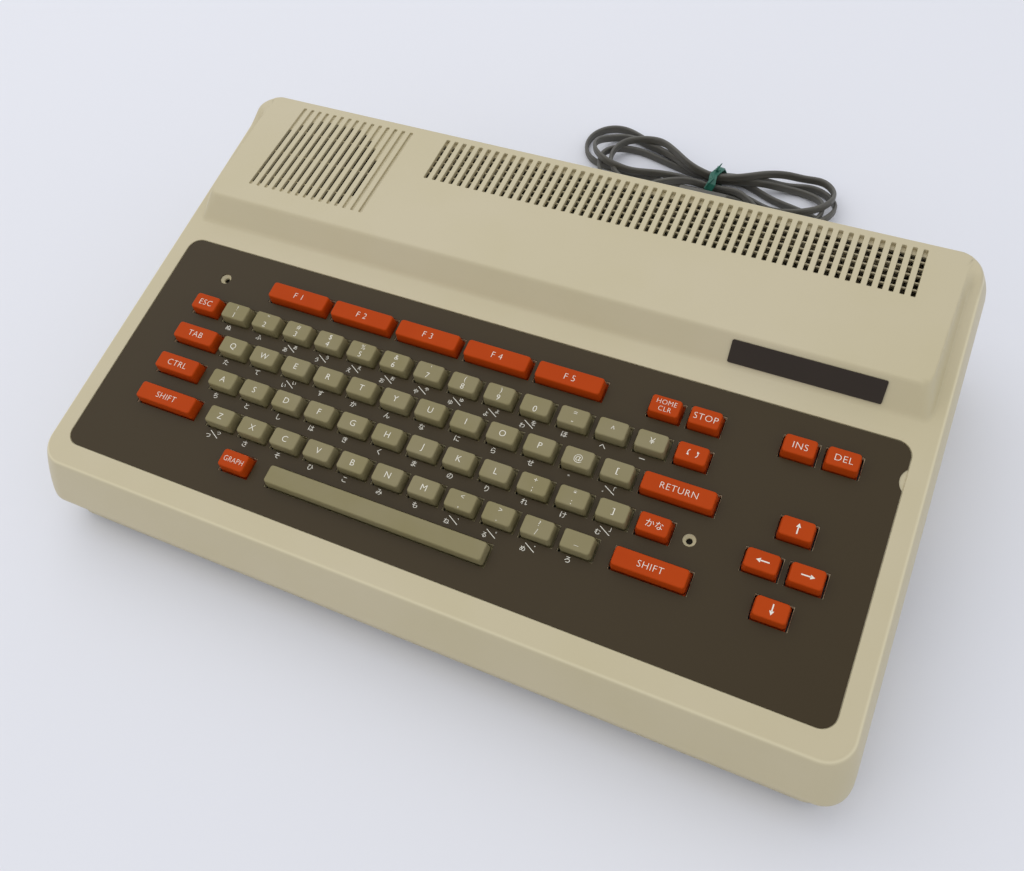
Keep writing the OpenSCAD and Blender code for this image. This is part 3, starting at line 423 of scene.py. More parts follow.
# Wire tie: a flat band drawn round the bundle, twisted on top, with two bent ends
tie = {
    "lean": -8, "half": 10.2, "tall": 13.2, "foot": 0.8, "round": 3.0, "crown": 8.0,
    "band": 4.9, "thick": 0.7,
    "sway": (0.8, 1.7),  # how far the band wanders, and how fast
    "endWide": 1.9, "endThin": 0.4, "taper": 0.2, "twist": 0.9,
    "ends": [[(0, 1.5, 12.4), (0.8, 1.5, 14), (-0.8, 0.2, 15.6), (0.6, -0.6, 17.4), (2.2, 1.8, 20.4)]]
    + [[(0, 1.5, 12.6), (-1.2, -1.6, 14), (0.4, -5, 13.6), (-1.4, -8.5, 12), (-2.6, -11.4, 9.2)]],
}
bm = bmesh.new()
turned = Matrix.Rotation(radians(tie["lean"]), 4, "Z")
place = Matrix.Translation((lead["tie"][0], lead["tie"][1], 0)) @ turned
half, top, low, crown = tie["half"], tie["tall"], tie["round"], tie["crown"]
foot = tie["foot"] + low
corners = [(half - low, foot, low), (half - crown, top - crown, crown)]
corners += [(crown - half, top - crown, crown), (low - half, foot, low)]
path = []
for quarter, (cy, cz, r) in enumerate(corners):
    for k in range(5):
        a = radians(-90 + 90 * quarter + 22.5 * k)
        path.append((cy + r * cos(a), cz + r * sin(a), cos(a), sin(a)))
rings, wide = [], tie["band"] / 2
for i, (y, z, ny, nz) in enumerate(path):
    sway = tie["sway"][0] * sin(i * tie["sway"][1])
    across = [(sway - wide, 0), (sway + wide, 0), (sway + wide, tie["thick"]), (sway - wide, tie["thick"])]
    rings.append([bm.verts.new((place @ Vector((x, y + ny * o, z + nz * o))) * mm) for x, o in across])
for a, b in zip(rings, rings[1:] + rings[:1]):
    joinRings(bm, a, b)
for end in tie["ends"]:
    rings = []
    for i, (x, y, z) in enumerate(end):
        wide, thin, turn = tie["endWide"] * (1 - tie["taper"] * i), tie["endThin"], tie["twist"] * i
        corners = [(0, wide), (1.57, thin), (3.14, wide), (4.71, thin)]  # a quarter turn apart
        spots = [(x + cos(turn + t) * w, y + sin(turn + t) * w, z) for t, w in corners]
        rings.append([bm.verts.new((place @ Vector(spot)) * mm) for spot in spots])
    bm.faces.new(list(reversed(rings[0])))
    for a, b in zip(rings, rings[1:]):
        joinRings(bm, a, b)
    bm.faces.new(rings[-1])
tiePiece = showPiece("wire_tie", meshFrom(bm, "wire_tie"), finish["tiePvc"])
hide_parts("cord_tie")

print("lead laid")


# Upper case: one moulded shell whose deck, hump and walls run into each other
shell = {
    "edgeBlend": 2.6, "footBlend": 1.4, "creaseBlend": 1.2, "cornerBlend": 9.0,
    "lip": 0.35,  # soft edge of the recess, the slots and the openings
    "rim": 2.3,
    "shoulder": (2.2, -4.5),  # where the inner wall meets the deck: inset and height
    "recessDepth": 0.8, "slotCorner": 0.45,
    "recess": (194.45, 12.0, 144.0, 7.35),  # half width, front, back, corner
    # The deck's edge rings below are painted paler: a painted highlight along the edge, with some wear
    "rubbed": {5: 0.3, 6: 0.8, 7: 1.0, 8: 0.7, 9: 0.2},  # how pale each ring of the deck's edge is
    "speaker": {"x": -172.7, "slots": 15, "pitch": 5.0, "w": 1.9, "l": 62.5, "y": 12.3, "thin": 1.8},
    "speakerHole": (-144.9, 36.2, 35.2),  # middle and radius
    "speakerOpen": (14.8, 69.5),  # the slots are blind in front of and behind these
    "speakerBars": (4.2, 18.1),  # place of the middle bar, and pitch
    "blind": 1.2, "blindHalf": 1.15,
    "vents": {"x": -79.8, "slots": 52, "pitch": 5.0, "w": 2.2, "l": 29.9, "y": 45.7, "thin": 2.3},
    "ventShelf": (2.1, 3.0),  # depth and width of the ledge along the vents' back ends
    "ventRibs": (7, 1.6, 4.4),  # number, first place, pitch
    "rib": (0.8, 1.1),  # width and height
    "thinFrom": (168, 6),  # the deck thins over this length, under the grilles
    "grilleSplit": (-98, 12),  # and changes from one grille's thickness to the other's here
    "wells": [(-161.9, 125.15), (116.75, 68.9)],
    "wellR": 2.9, "wellDepth": 2.1, "wellHole": 1.5, "wellLip": 1.0,
    "wellTube": (4.5, -7.5),  # radius and foot
    "posts": [(191.5, -106.7, 51.5), (188.5, 109.7, 86)],
    "postR": 4.5, "postFoot": 26.0,
    "postHole": (1.4, 12),  # radius and depth
}
keySet = {
    "pitch": 19.05, "rowPitch": 18.75, "firstX": -142.0, "firstY": 106.4,
    "openW": 16.55, "openL": 11.35, "openCorner": 0.5, "openAside": -0.05,
    "clear": 1.4,  # how much smaller than its opening a cap is
    "aside": -0.3, "top": 4.7, "draft": 0.48, "foot": 0.05, "bottom": -4.5,
    "corner": 1.5, "round": 0.75, "waist": 0.45,
    "tilts": (3, 8),  # degrees by which the sides lean at the waist and the shoulder
    "flangeTop": -3.3, "flangeOut": 1.2, "stem": 5.0, "stemEnd": -10.5,
    "outerStems": 2,  # key pitches from the middle of the space bar
}
# Column and row in key pitches from the first number key, then extra width
loneKeys = {
    "key_esc": (-1, 0, 0), "key_mode": (13, 0, 0), "key_tab": (-0.75, -1, 0.5), "key_return": (13, -1, 1),
    "key_ctrl": (-0.75, -2, 0.5), "key_kana": (12.75, -2, 0), "key_shift_left": (-0.5, -3, 1),
    "key_shift_right": (13, -3, 1), "key_graph": (2.25, -4, 0), "key_space": (6.29, -4, 5.28),
    **{f"key_f{n}": (2 * n - 0.5, 1, 1) for n in range(1, 6)},
    "key_home": (12, 1, 0), "key_stop": (13, 1, 0), "key_insert": (15.26, 1, 0), "key_delete": (16.26, 1, 0),
    "key_up": (15.76, -1, 0), "key_left": (15.26, -2, 0), "key_right": (16.26, -2, 0),
    "key_down": (15.76, -3, 0),
}
rowKeys = {
    "keys_number_row": [(i, 0, 0) for i in range(13)],
    "keys_upper_row": [(i + 0.5, -1, 0) for i in range(12)],
    "keys_home_row": [(i + 0.75, -2, 0) for i in range(12)],
    "keys_lower_row": [(i + 1.25, -3, 0) for i in range(11)],
}
allKeys = list(loneKeys.values()) + [k for row in rowKeys.values() for k in row]


def keyMiddle(key):
    return keySet["firstX"] + key[0] * keySet["pitch"], keySet["firstY"] + key[1] * keySet["rowPitch"]


def softMin(a, b, k):
    h = max(k - abs(a - b), 0) / k
    return min(a, b) - h * h * k / 4


def topHeight(u, v):
    # Height of deck and hump over the deck plane
    top = case["humpH"] - (v - humpFront) * tan(radians(case["humpFall"]))
    front = case["humpH"] * (v - case["humpFoot"]) / case["humpRun"]
    side = max((case["humpBaseHalf"] - abs(u)) * case["humpSteep"], -2)
    # The ledge beside the hump rises to meet it at the rear corners
    fadeFrom, fadeLong = case["humpFade"]
    side += max(top - side, 0) * eased((v - fadeFrom) / fadeLong)
    raised = softMin(softMin(front, side, shell["cornerBlend"]), top, shell["creaseBlend"])
    return -softMin(0, -raised, shell["footBlend"])


class ShellMesh:
    def __init__(self):
        self.points, self.normals, self.rubbed, self.faces = [], [], [], []

    def vertex(self, place, point, normal, rubbed=0.0):
        # Point in mm and normal, both in the frame given, and its share of the painted edge highlight and wear
        self.rubbed.append(rubbed)
        self.points.append(place @ Vector(point))
        self.normals.append((place.to_3x3() @ Vector(normal)).normalized())
        return len(self.points) - 1

    def strips(self, *loops):
        # Quads from each closed loop to the next
        for a, b in zip(loops, loops[1:]):
            n = len(a)
            self.faces += [(a[k], a[(k + 1) % n], b[(k + 1) % n], b[k]) for k in range(n)]

    def block(self, place, low, high):
        # Box with its own flat sides
        for axis in range(3):
            i, j = (axis + 1) % 3, (axis + 2) % 3
            for side, level in ((-1, low[axis]), (1, high[axis])):
                normal, ring = [0, 0, 0], []
                normal[axis] = side
                for a, b in ((low[i], low[j]), (high[i], low[j]), (high[i], high[j]), (low[i], high[j])):
                    point = [0, 0, 0]
                    point[axis], point[i], point[j] = level, a, b
                    ring.append(self.vertex(place, point, normal))
                self.faces.append(tuple(ring))

    def lathe(self, place, centre, profile, count=24):
        # Bands around a vertical axis: each has two radii, two heights and one normal in the r-w plane
        for (r0, w0), (r1, w1), (nr, nw) in profile:
            loops = []
            for r, w in ((r0, w0), (r1, w1)):
                loop = []
                for k in range(count):
                    c, s = cos(2 * pi * k / count), sin(2 * pi * k / count)
                    point = (centre[0] + r * c, centre[1] + r * s, w)
                    loop.append(self.vertex(place, point, (nr * c, nr * s, nw)))
                loops.append(loop)
            self.strips(*loops)

    def rounded(self, place, centre, half, corner, bands):
        # Soft-edged block: each ring has an inset, a height, a tilt in degrees and a tighter corner
        loops = []
        for inset, z, tilt, tighter in bands:
            side, up = cos(radians(tilt)), sin(radians(tilt))
            around = loopAround(*centre, half[0] - inset, half[1] - inset, corner - tighter, 4)
            loops.append([self.vertex(place, (x, y, z), (nx * side, ny * side, up)) for x, y, nx, ny in around])
        self.strips(*loops)
        self.faces.append(tuple(loops[-1]))
        return loops[0]

    def finished(self, name):
        mesh = bpy.data.meshes.new(name)
        turned = []
        for face in self.faces:
            p = [self.points[i] for i in face]
            across = (p[1] - p[0]).cross(p[2] - p[0]) + (p[2] - p[0]).cross(p[-1] - p[0])
            facing = sum((self.normals[i] for i in face), Vector())
            turned.append(face if across.dot(facing) >= 0 else tuple(reversed(face)))
        mesh.from_pydata([p * mm for p in self.points], [], turned)
        smooth(mesh)
        mesh.normals_split_custom_set_from_vertices(self.normals)
        # Share of the paler edge colour: painted highlight and wear
        rubbed = mesh.attributes.new("rubbed", "FLOAT", "POINT")
        rubbed.data.foreach_set("value", self.rubbed)
        return mesh


def loopAround(cx, cy, halfW, halfL, r, steps=2):
    # Rounded rectangle as (x, y, outward x, outward y), anticlockwise
    out = []
    for quarter, (sx, sy) in enumerate(((1, -1), (1, 1), (-1, 1), (-1, -1))):
        for k in range(steps + 1):
            a = radians(-90 + 90 * quarter + 90 * k / steps)
            c, s = cos(a), sin(a)
            out.append((cx + sx * (halfW - r) + r * c, cy + sy * (halfL - r) + r * s, c, s))
    return out


m = ShellMesh()
lip, wall, depth = shell["lip"], case["wall"], shell["recessDepth"]
speaker, vents = shell["speaker"], shell["vents"]


def slopeNormal(u, v):
    h = 0.05
    return (topHeight(u - h, v) - topHeight(u + h, v), topHeight(u, v - h) - topHeight(u, v + h), 2 * h)


def underside(u, v):
    # Walls are thinner under the grilles
    (split, blend), (start, run) = shell["grilleSplit"], shell["thinFrom"]
    thin = speaker["thin"] + (vents["thin"] - speaker["thin"]) * eased((u - split) / blend)
    return topHeight(u, v) - wall + (wall - thin) * min(max((v - start) / run, 0), 1)


def surface(border, holes, chains, height, normalAt, underHeight, rim=None):
    # Fills a region with holes, above and below, and gives back its loops' vertices. Chains add points.
    points, edges, spans = [], [], []
    for loop in [border] + holes:
        start = len(points)
        points += [Vector(p[:2]) for p in loop]
        edges += [(start + k, start + (k + 1) % len(loop)) for k in range(len(loop))]
        spans.append((start, len(loop)))
    owner = [h for h, (_, count) in enumerate(spans) for _ in range(count)]
    for chain in chains:
        edges += [(len(points) + k, len(points) + k + 1) for k in range(len(chain) - 1)]
        points += [Vector(p) for p in chain]
    owner += [0] * (len(points) - len(owner))
    flat, _, triangles, origins, _, _ = delaunay_2d_cdt(points, edges, [], 2, 1e-5)
    upper, lower = {}, {}
    for i, p in enumerate(flat):
        source = origins[i][0]
        if rim and source < len(border):
            upper[i], lower[i] = rim[0][source], rim[1][source]
        else:
            upper[i] = m.vertex(onDeck, (p.x, p.y, height(p.x, p.y)), normalAt(p.x, p.y))
            lower[i] = m.vertex(onDeck, (p.x, p.y, underHeight(p.x, p.y)), (0, 0, -1))
    found = {origins[i][0]: i for i in range(len(flat))}
    for triangle in triangles:
        owners = {owner[origins[i][0]] for i in triangle}
        if len(owners) == 1 and 0 not in owners:
            continue  # inside a hole
        m.faces += [tuple(side[i] for i in triangle) for side in (upper, lower)]
    return [[[side[found[s + k]] for k in range(c)] for side in (upper, lower)] for s, c in spans]


def holeWalls(place, loop, top, bottom, edge):
    # Rounded lip at the top loop, then straight down to the under side
    lipLoop, wallLoop, foot = [], [], []
    soft = lip * 0.3
    for x, y, nx, ny in loop:
        lipLoop.append(m.vertex(place, (x + nx * soft, y + ny * soft, top - soft), (-nx, -ny, 1)))
        wallLoop.append(m.vertex(place, (x, y, top - lip), (-nx, -ny, 0)))
        foot.append(m.vertex(place, (x, y, bottom), (-nx, -ny, 0)))
    m.strips(edge[0], lipLoop, wallLoop, foot, *edge[1:])


# The deck's outline: corner centres, outward directions and radii, closest where the hump begins
front, rear = case["frontR"], case["rearR"]
frontU, rearU, rearV = case["deckW"] / 2 - front, case["deckW"] / 2 - rear, case["deckL"] - rear
side = [front, 30, 50, 70, 90, 110, 128, 140, 146, 150] + [152 + 1.3 * k for k in range(18)]
side += [178, 184, 192, 202, 214, 225, 233]
across = [1 - k / 10 for k in range(21)]
corner = [radians(7.5 * k) for k in range(1, 12)]
samples = [(frontU, v, 1, 0, front) for v in side] + [(rearU, rearV, 1, 0, rear)]
samples += [(rearU, rearV, cos(a), sin(a), rear) for a in corner]
samples += [(rearU * k, rearV, 0, 1, rear) for k in across]
samples += [(-rearU, rearV, -sin(a), cos(a), rear) for a in corner]
samples += [(-rearU, rearV, -1, 0, rear)] + [(-frontU, v, -1, 0, front) for v in reversed(side)]
samples += [(-frontU, front, -cos(a), -sin(a), front) for a in corner]
samples += [(-frontU * k, front, 0, -1, front) for k in across]
samples += [(frontU, front, sin(a), -cos(a), front) for a in corner]

# Outer face from the deck's border out over the edge and down the wall, as deck-frame points
drop, half = case["rimDrop"], case["deckW"] / 2
profile = [(inset, 0.0) for inset in (3.0, 2.6, 2.2, 1.8, 1.4, 1.0, 0.6, 0.3)]
for t in (0.0, 0.03, 0.06, 0.1, 0.15, 0.21, 0.28, 0.45, 0.7, 0.9, 0.975, 1.0):
    profile.append((0.7 if t == 1 else 0.12 if t == 0.975 else 0, t))
rings, bulge = [], case["sideBulge"]
for inset, t in profile:
    points = []
    for a, b, nx, ny, r in samples:
        moveU = a * case["sideFlare"] / (half - r)
        share = (b - front) / (rearV - front)
        moveV = case["rearFlare"] * share - case["frontFlare"] * (1 - share)
        u = a + moveU * (1 - (1 - t) ** bulge) + (r - inset) * nx
        v = b + moveV * t + (r - inset) * ny
        down = -drop * t + (inset * drop / (moveU * bulge * nx + moveV * ny) if t == 0 else 0)
        points.append((u, v, softMin(topHeight(u, v), down, shell["edgeBlend"])))
    rings.append(points)

# Normals come from the neighbouring rings
n, loops = len(samples), []
for i, ring in enumerate(rings):
    loop = []
    for k, p in enumerate(ring):
        if i == 0:
            normal = slopeNormal(p[0], p[1])
        else:
            along = Vector(ring[(k + 1) % n]) - Vector(ring[k - 1])
            nextRing = rings[min(i + 1, len(rings) - 1)]
            out = Vector(nextRing[k]) - Vector(rings[i - 1][k])
            normal = out.cross(along)
        loop.append(m.vertex(onDeck, p, normal, shell["rubbed"].get(i, 0.0)))
    loops.append(loop)
m.strips(*loops)

# Rim and inner wall
rim, rimW = rings[-1], shell["rim"]
inner = [(p[0] - s[2] * rimW, p[1] - s[3] * rimW, p[2]) for p, s in zip(rim, samples)]
inset, level = shell["shoulder"]
shoulder = [(a + (r - inset) * nx, b + (r - inset) * ny, level) for a, b, nx, ny, r in samples]
bands = [[(p, (0, 0, -1)) for p in rim], [(p, (0, 0, -1)) for p in inner]]
bands += [[(p, (-s[2], -s[3], 0)) for p, s in zip(inner, samples)]]
bands += [[(p, (-s[2], -s[3], -0.3)) for p, s in zip(shoulder, samples)]]
made = [[m.vertex(onDeck, p, normal) for p, normal in band] for band in bands]
under = [m.vertex(onDeck, (p[0], p[1], topHeight(p[0], p[1]) - wall), (0, 0, -1)) for p in rings[0]]
m.strips(made[0], made[1])
m.strips(made[2], made[3], under)

# Slots as loops in the hump's frame, with the thickness under each
slots = []
for grille in (speaker, vents):
    halfW, halfL = grille["w"] / 2, grille["l"] / 2
    for i in range(grille["slots"]):
        x = grille["x"] + i * grille["pitch"]
        slots.append((loopAround(x, grille["y"] + halfL, halfW, halfL, shell["slotCorner"]), grille["thin"]))

# Top outside the keyboard recess
toDeck = onDeck.inverted()
slotEdges = [
    [tuple((toDeck @ onHump @ Vector((x + nx * lip, y + ny * lip, 0))).xy) for x, y, nx, ny in loop]
    for loop, _ in slots
]
half, y0, y1, recessR = shell["recess"]
recess = loopAround(0, (y0 + y1) / 2, half, (y1 - y0) / 2, recessR, 12)
recessTop = [(x + nx * lip, y + ny * lip) for x, y, nx, ny in recess]
# Extra points in rows across the hump's rise and in columns up its ends
lines = [150 + 1.1 * k for k in range(25)]
chains = [[(-188 + 23.5 * k, v) for k in range(17)] for v in lines]
for u in [case["humpBaseHalf"] + 0.9 - 0.5 * k for k in range(16)]:
    for side in (-1, 1):
        chain = [(side * u, v) for v in lines + [182, 190, 200, 210, 220, 230, 235, 238]]
        chains.append([p for p in chain if hypot(max(u - rearU, 0), max(p[1] - rearV, 0)) < rear - 3.8])
holes = [recessTop] + slotEdges
edges = surface(rings[0], holes, chains, topHeight, slopeNormal, underside, (loops[0], under))
for (loop, thin), edge in zip(slots, edges[2:]):
    holeWalls(onHump, loop, 0, -thin, edge)

# Recess floor with the key openings and the two wells
openings = []
for key in allKeys:
    x, y = keyMiddle(key)
    halfW, halfL = (keySet["openW"] + key[2] * keySet["pitch"]) / 2, keySet["openL"] / 2
    openings.append(loopAround(x + keySet["openAside"], y, halfW, halfL, keySet["openCorner"]))
wellR, wellLip = shell["wellR"], shell["wellLip"]
wells = [loopAround(x, y, wellR, wellR, wellR - 0.001, 6) for x, y in shell["wells"]]  # full circles
floorEdges = surface(
    [(x, y) for x, y, _, _ in recess],
    [[(x + nx * lip, y + ny * lip) for x, y, nx, ny in loop] for loop in openings + wells],
    [],
    lambda u, v: -depth,
    lambda u, v: (0, 0, 1),
    lambda u, v: -wall,
)
holeWalls(onDeck, recess, 0, -depth, edges[1][:1])
m.strips(edges[1][1], floorEdges[0][1])
for loop, edge in zip(openings + wells, floorEdges[1:]):
    holeWalls(onDeck, loop, -depth, -wellLip if loop in wells else -wall, edge)
hole, (tube, base) = shell["wellHole"], shell["wellTube"]
for centre in shell["wells"]:
    cone = ((wellR, -wellLip), (hole, -shell["wellDepth"]), (-0.75, 0.66))
    bore = ((hole, -shell["wellDepth"]), (hole, base), (-1, 0))
    foot = ((hole, base), (tube, base), (0, -1))
    m.lathe(onDeck, centre, [cone, bore, foot, ((tube, base), (tube, -wall), (1, 0))])

# Bosses the case screws reach up into, standing plumb under the deck
r, low = shell["postR"], shell["postFoot"]
hole, deep = shell["postHole"]
for x, y, top in shell["posts"]:
    for side in (-1, 1):
        bands = [((r, low), (r, top), (1, 0)), ((r, low), (hole, low), (0, -1))]
        bands += [((hole, low), (hole, low + deep), (-1, 0))]
        m.lathe(Matrix.Identity(4), (side * x, y), bands)

# Blind ends of the loudspeaker slots, and the ribs that cross under both grilles
hx, hy, hr = shell["speakerHole"]
first, last = shell["speakerOpen"]
low, high, thin = speaker["y"], speaker["y"] + speaker["l"], speaker["thin"]
for i in range(speaker["slots"]):
    x = speaker["x"] + i * speaker["pitch"]
    chord = sqrt(max(hr**2 - (x - hx) ** 2, 0))
    fills = [(low, max(hy - chord, first)), (min(hy + chord, last), high)] if chord else [(low, high)]
    for a, b in fills:
        if b - a > 0.2:
            left, right = x - shell["blindHalf"], x + shell["blindHalf"]
            m.block(onHump, (left, a - 0.1, -thin - 0.4), (right, b + 0.1, -shell["blind"]))
ribW, ribH = shell["rib"]
middle, pitch = shell["speakerBars"]
for i in (-1, 0, 1):
    y = hy + middle + i * pitch
    m.block(onHump, (hx - hr, y - ribW / 2, -thin - ribH), (hx + hr, y + ribW / 2, 0.1 - thin))
thin, back = vents["thin"], vents["y"] + vents["l"]
left, right = vents["x"] - 3, vents["x"] + (vents["slots"] - 1) * vents["pitch"] + 3
shelfDeep, shelfWide = shell["ventShelf"]
m.block(onHump, (left, back - shelfWide, -thin - ribH), (right, back + 1, -shelfDeep))
count, start, pitch = shell["ventRibs"]
for i in range(count):
    y = vents["y"] + start + i * pitch
    m.block(onHump, (left, y - ribW / 2, -thin - ribH), (right, y + ribW / 2, 0.1 - thin))

upperCase = showPiece("upper_shell", m.finished("upper_shell"), finish["creamAbs"])
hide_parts("upper_case")
print("upper case built,", len(upperCase.data.polygons), "faces")


# Key caps: each one a soft-edged cap over its flange and stems, with a raised legend that rides with it


def addCap(m, key):
    x, y = keyMiddle(key)
    place = onDeck @ Matrix.Translation((x, y, 0))
    halfW = (keySet["openW"] - keySet["clear"] + key[2] * keySet["pitch"]) / 2
    halfL = (keySet["openL"] - keySet["clear"]) / 2
    foot, low, top = keySet["foot"], keySet["bottom"], keySet["top"]
    r, lean, (waistTilt, topTilt) = keySet["round"], keySet["draft"], keySet["tilts"]
    # The straight foot, the leaning sides, then the rounded shoulder
    bands = [(foot, low, 0), (foot, 0, 0), ((foot + lean) / 2, top * keySet["waist"], waistTilt)]
    bands += [(lean, top - r, topTilt)]
    for a in (0.45, 0.85, 1.2, pi / 2):
        bands.append((lean + r * (1 - cos(a)), top - r + r * sin(a), degrees(a)))
    bands = [(*band, band[0] * 0.3) for band in bands]
    m.rounded(place, (keySet["aside"], 0), (halfW, halfL), keySet["corner"], bands)
    flangeL = halfL + keySet["flangeOut"]
    m.block(place, (-halfW, -flangeL, low), (halfW, flangeL, keySet["flangeTop"]))
    outer = keySet["outerStems"] * keySet["pitch"]
    half = keySet["stem"] / 2
    for sx in (-outer, 0, outer) if key[2] > 3 else (0,):
        m.block(place, (sx - half, -half, keySet["stemEnd"]), (sx + half, half, low + 0.05))


legend = {
    "capHeight": 0.729, "kanaHeight": 0.84,  # of the typeface, in its own units
    "spread": 1.08, "thin": -0.009, "wordThin": -0.017, "kanaThin": 0.004,
    "lift": 0.03,
    "film": -0.3,  # height of the panel's face
    "word": 3.4, "wide": 3.3, "letter": 3.3, "digit": 3.1, "sign": 2.7,
    "longWord": (2.9, 0.84), "bracket": (2.7, 1.5),  # height and squeeze
    "stacked": (2.6, 0.95, 1.75),  # height, squeeze, distance from the middle
    "digitY": -2.0, "signY": 2.1,
    "keyKana": 3.6, "kana": 2.9, "smallKana": 2.5, "dotShare": 0.8,
    "kanaAt": (-2.3, -7.9), "pairAt": (-1.2, -8.6),
    "pair": ((-2.8, -1.4), (2.1, 1.3)),  # either side of the slash
    "slash": (2.65, -1.5, 0.34),  # half lengths, width
    "bow": (1.5, 0.9, 1.5, 0.32, 1.1),  # place, bulge, half length, width, head
    "arrow": (2.9, 2.5, 0.55, 1.9),  # half lengths across and along, width, head
}


def glyphs(text, height, kana=False, thin=None, squeeze=1.0):
    # Flat outline of a word with the built-in typeface, centred, in mm; kana are centred on their own box
    curve = bpy.data.curves.new("word", "FONT")
    curve.body = text
    curve.resolution_u = 3
    curve.space_character = 1.0 if kana else legend["spread"]
    curve.offset = legend["thin"] if thin is None else thin
    word = addObject("word", curve)
    flat = bpy.data.meshes.new_from_object(word.evaluated_get(bpy.context.evaluated_depsgraph_get()))
    bpy.data.objects.remove(word)
    points = [v.co.copy() for v in flat.vertices]
    faces = [tuple(f.vertices) for f in flat.polygons]
    bpy.data.meshes.remove(flat)
    bpy.data.curves.remove(curve)
    lowX, highX = min(p.x for p in points), max(p.x for p in points)
    lowY, highY = min(p.y for p in points), max(p.y for p in points)
    middleY = (lowY + highY) / 2 if kana else legend["capHeight"] / 2
    scale = height / legend["kanaHeight" if kana else "capHeight"]
    return [((p.x - (lowX + highX) / 2) * scale * squeeze, (p.y - middleY) * scale) for p in points], faces


def engrave(m, x, y, z, outline):
    points, faces = outline
    start = len(m.points)
    for px, py in points:
        m.vertex(onDeck, (x + px, y + py, z), (0, 0, 1))
    m.faces += [tuple(start + i for i in face) for face in faces]


def stroke(points, width):
    # Ribbon along a few points, as points and faces on the flat
    out = []
    for i, p in enumerate(points):
        before, after = Vector(points[max(i - 1, 0)]), Vector(points[min(i + 1, len(points) - 1)])
        ahead = (after - before).normalized() * width / 2
        out += [(p[0] - ahead.y, p[1] + ahead.x), (p[0] + ahead.y, p[1] - ahead.x)]
    faces = [(2 * i, 2 * i + 1, 2 * i + 3, 2 * i + 2) for i in range(len(points) - 1)]
    return out, faces


def arrow(path, width, head):
    # Ribbon with a solid head on its last point
    tip, before = Vector(path[-1]), Vector(path[-2])
    ahead = (tip - before).normalized()
    across = Vector((-ahead.y, ahead.x))
    out, faces = stroke(list(path[:-1]) + [tuple(tip - ahead * head * 0.8)], width)
    start = len(out)
    out.append(tuple(tip))
    out += [tuple(tip - ahead * head + across * head * side) for side in (0.55, -0.55)]
    return out, faces + [(start, start + 1, start + 2)]


words = {
    "key_esc": "ESC", "key_tab": "TAB", "key_ctrl": "CTRL", "key_graph": "GRAPH",
    "key_shift_left": "SHIFT", "key_shift_right": "SHIFT", "key_return": "RETURN",
    "key_stop": "STOP", "key_insert": "INS", "key_delete": "DEL",
    **{f"key_f{n}": f"F {n}" for n in range(1, 6)},
}
arrows = {"key_up": (0, 1), "key_down": (0, -1), "key_left": (-1, 0), "key_right": (1, 0)}
# Upper sign and lower character of each key, and the marks printed under it
rowSigns = {
    "keys_number_row": "!1 \"2 #3 $4 %5 &6 '7 (8 )9 0 =- ^ \u00a5",
    "keys_upper_row": "Q W E R T Y U I O P @ [",
    "keys_home_row": "A S D F G H J K L +; *: ]",
    "keys_lower_row": "Z X C V B N M <, >. ?/ _",
}
rowMarks = {
    "keys_number_row": "ぬ ふ あぁ うぅ えぇ おぉ やゃ ゆゅ よょ わを ほ へ ー",
    "keys_upper_row": "た て いぃ す か ん な に ら せ ゛ ゜「",
    "keys_home_row": "ち と し は き く ま の り れ け む」",
    "keys_lower_row": "つっ さ そ ひ こ み も ね、 る。 め・ ろ",
}


def legendOf(name, i, key):
    # Outlines on one key, each with its place above the key's middle
    thin = legend["wordThin"]
    if name in rowSigns:
        signs = rowSigns[name].split()[i]
        if len(signs) == 2:
            digit = glyphs(signs[1], legend["digit"])
            return [(legend["signY"], glyphs(signs[0], legend["sign"])), (legend["digitY"], digit)]
        tall, squeeze = legend["bracket"] if signs in "[]" else (legend["letter"], 1)
        return [(legend["digitY"] if signs == "0" else 0, glyphs(signs, tall, squeeze=squeeze))]
    if name in words:
        tall, squeeze = legend["wide"] if key[2] == 1 and len(words[name]) > 3 else legend["word"], 1
        if name == "key_graph":
            tall, squeeze = legend["longWord"]
        return [(0, glyphs(words[name], tall, thin=thin, squeeze=squeeze))]
    if name == "key_home":
        tall, squeeze, apart = legend["stacked"]
        lines = (("HOME", apart), ("CLR", -apart))
        return [(up, glyphs(word, tall, thin=thin, squeeze=squeeze)) for word, up in lines]
    if name == "key_kana":
        return [(0, glyphs("かな", legend["keyKana"], True))]
    if name == "key_mode":
        out, bulge, half, width, head = legend["bow"]
        bow = [(out + bulge * sin(a), -half * cos(a)) for a in (0.0, 0.5, 1.0, 1.5, 2.0, 2.9)]
        return [(0, arrow([(side * x, side * y) for x, y in bow], width, head)) for side in (-1, 1)]
    if name in arrows:
        across, along, width, head = legend["arrow"]
        dx, dy = arrows[name][0] * across, arrows[name][1] * along
        return [(0, arrow([(-dx, -dy), (0, 0), (dx, dy)], width, head))]
    return []


def keyLegends(name, keys):
    m = ShellMesh()
    for i, key in enumerate(keys):
        x, y = keyMiddle(key)
        for up, outline in legendOf(name, i, key):
            engrave(m, x, y + up, keySet["top"] + legend["lift"], outline)
    return m.finished(name + "_legend") if m.faces else None


keyGroups = {name: [key] for name, key in loneKeys.items()} | rowKeys
for name, keys in keyGroups.items():
    caps = ShellMesh()
    for key in keys:
        addCap(caps, key)
    hue = "olive" if name in rowKeys or name == "key_space" else "orange"
    capName = name + "_cap"
    cap = showPiece(capName, caps.finished(capName), finish[hue + "Abs"], name)
    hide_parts(name)
    mesh = keyLegends(name, keys)
    if mesh:
        showPiece(name + "_legend", mesh, finish["legendWhite"], name)
print("keys built")


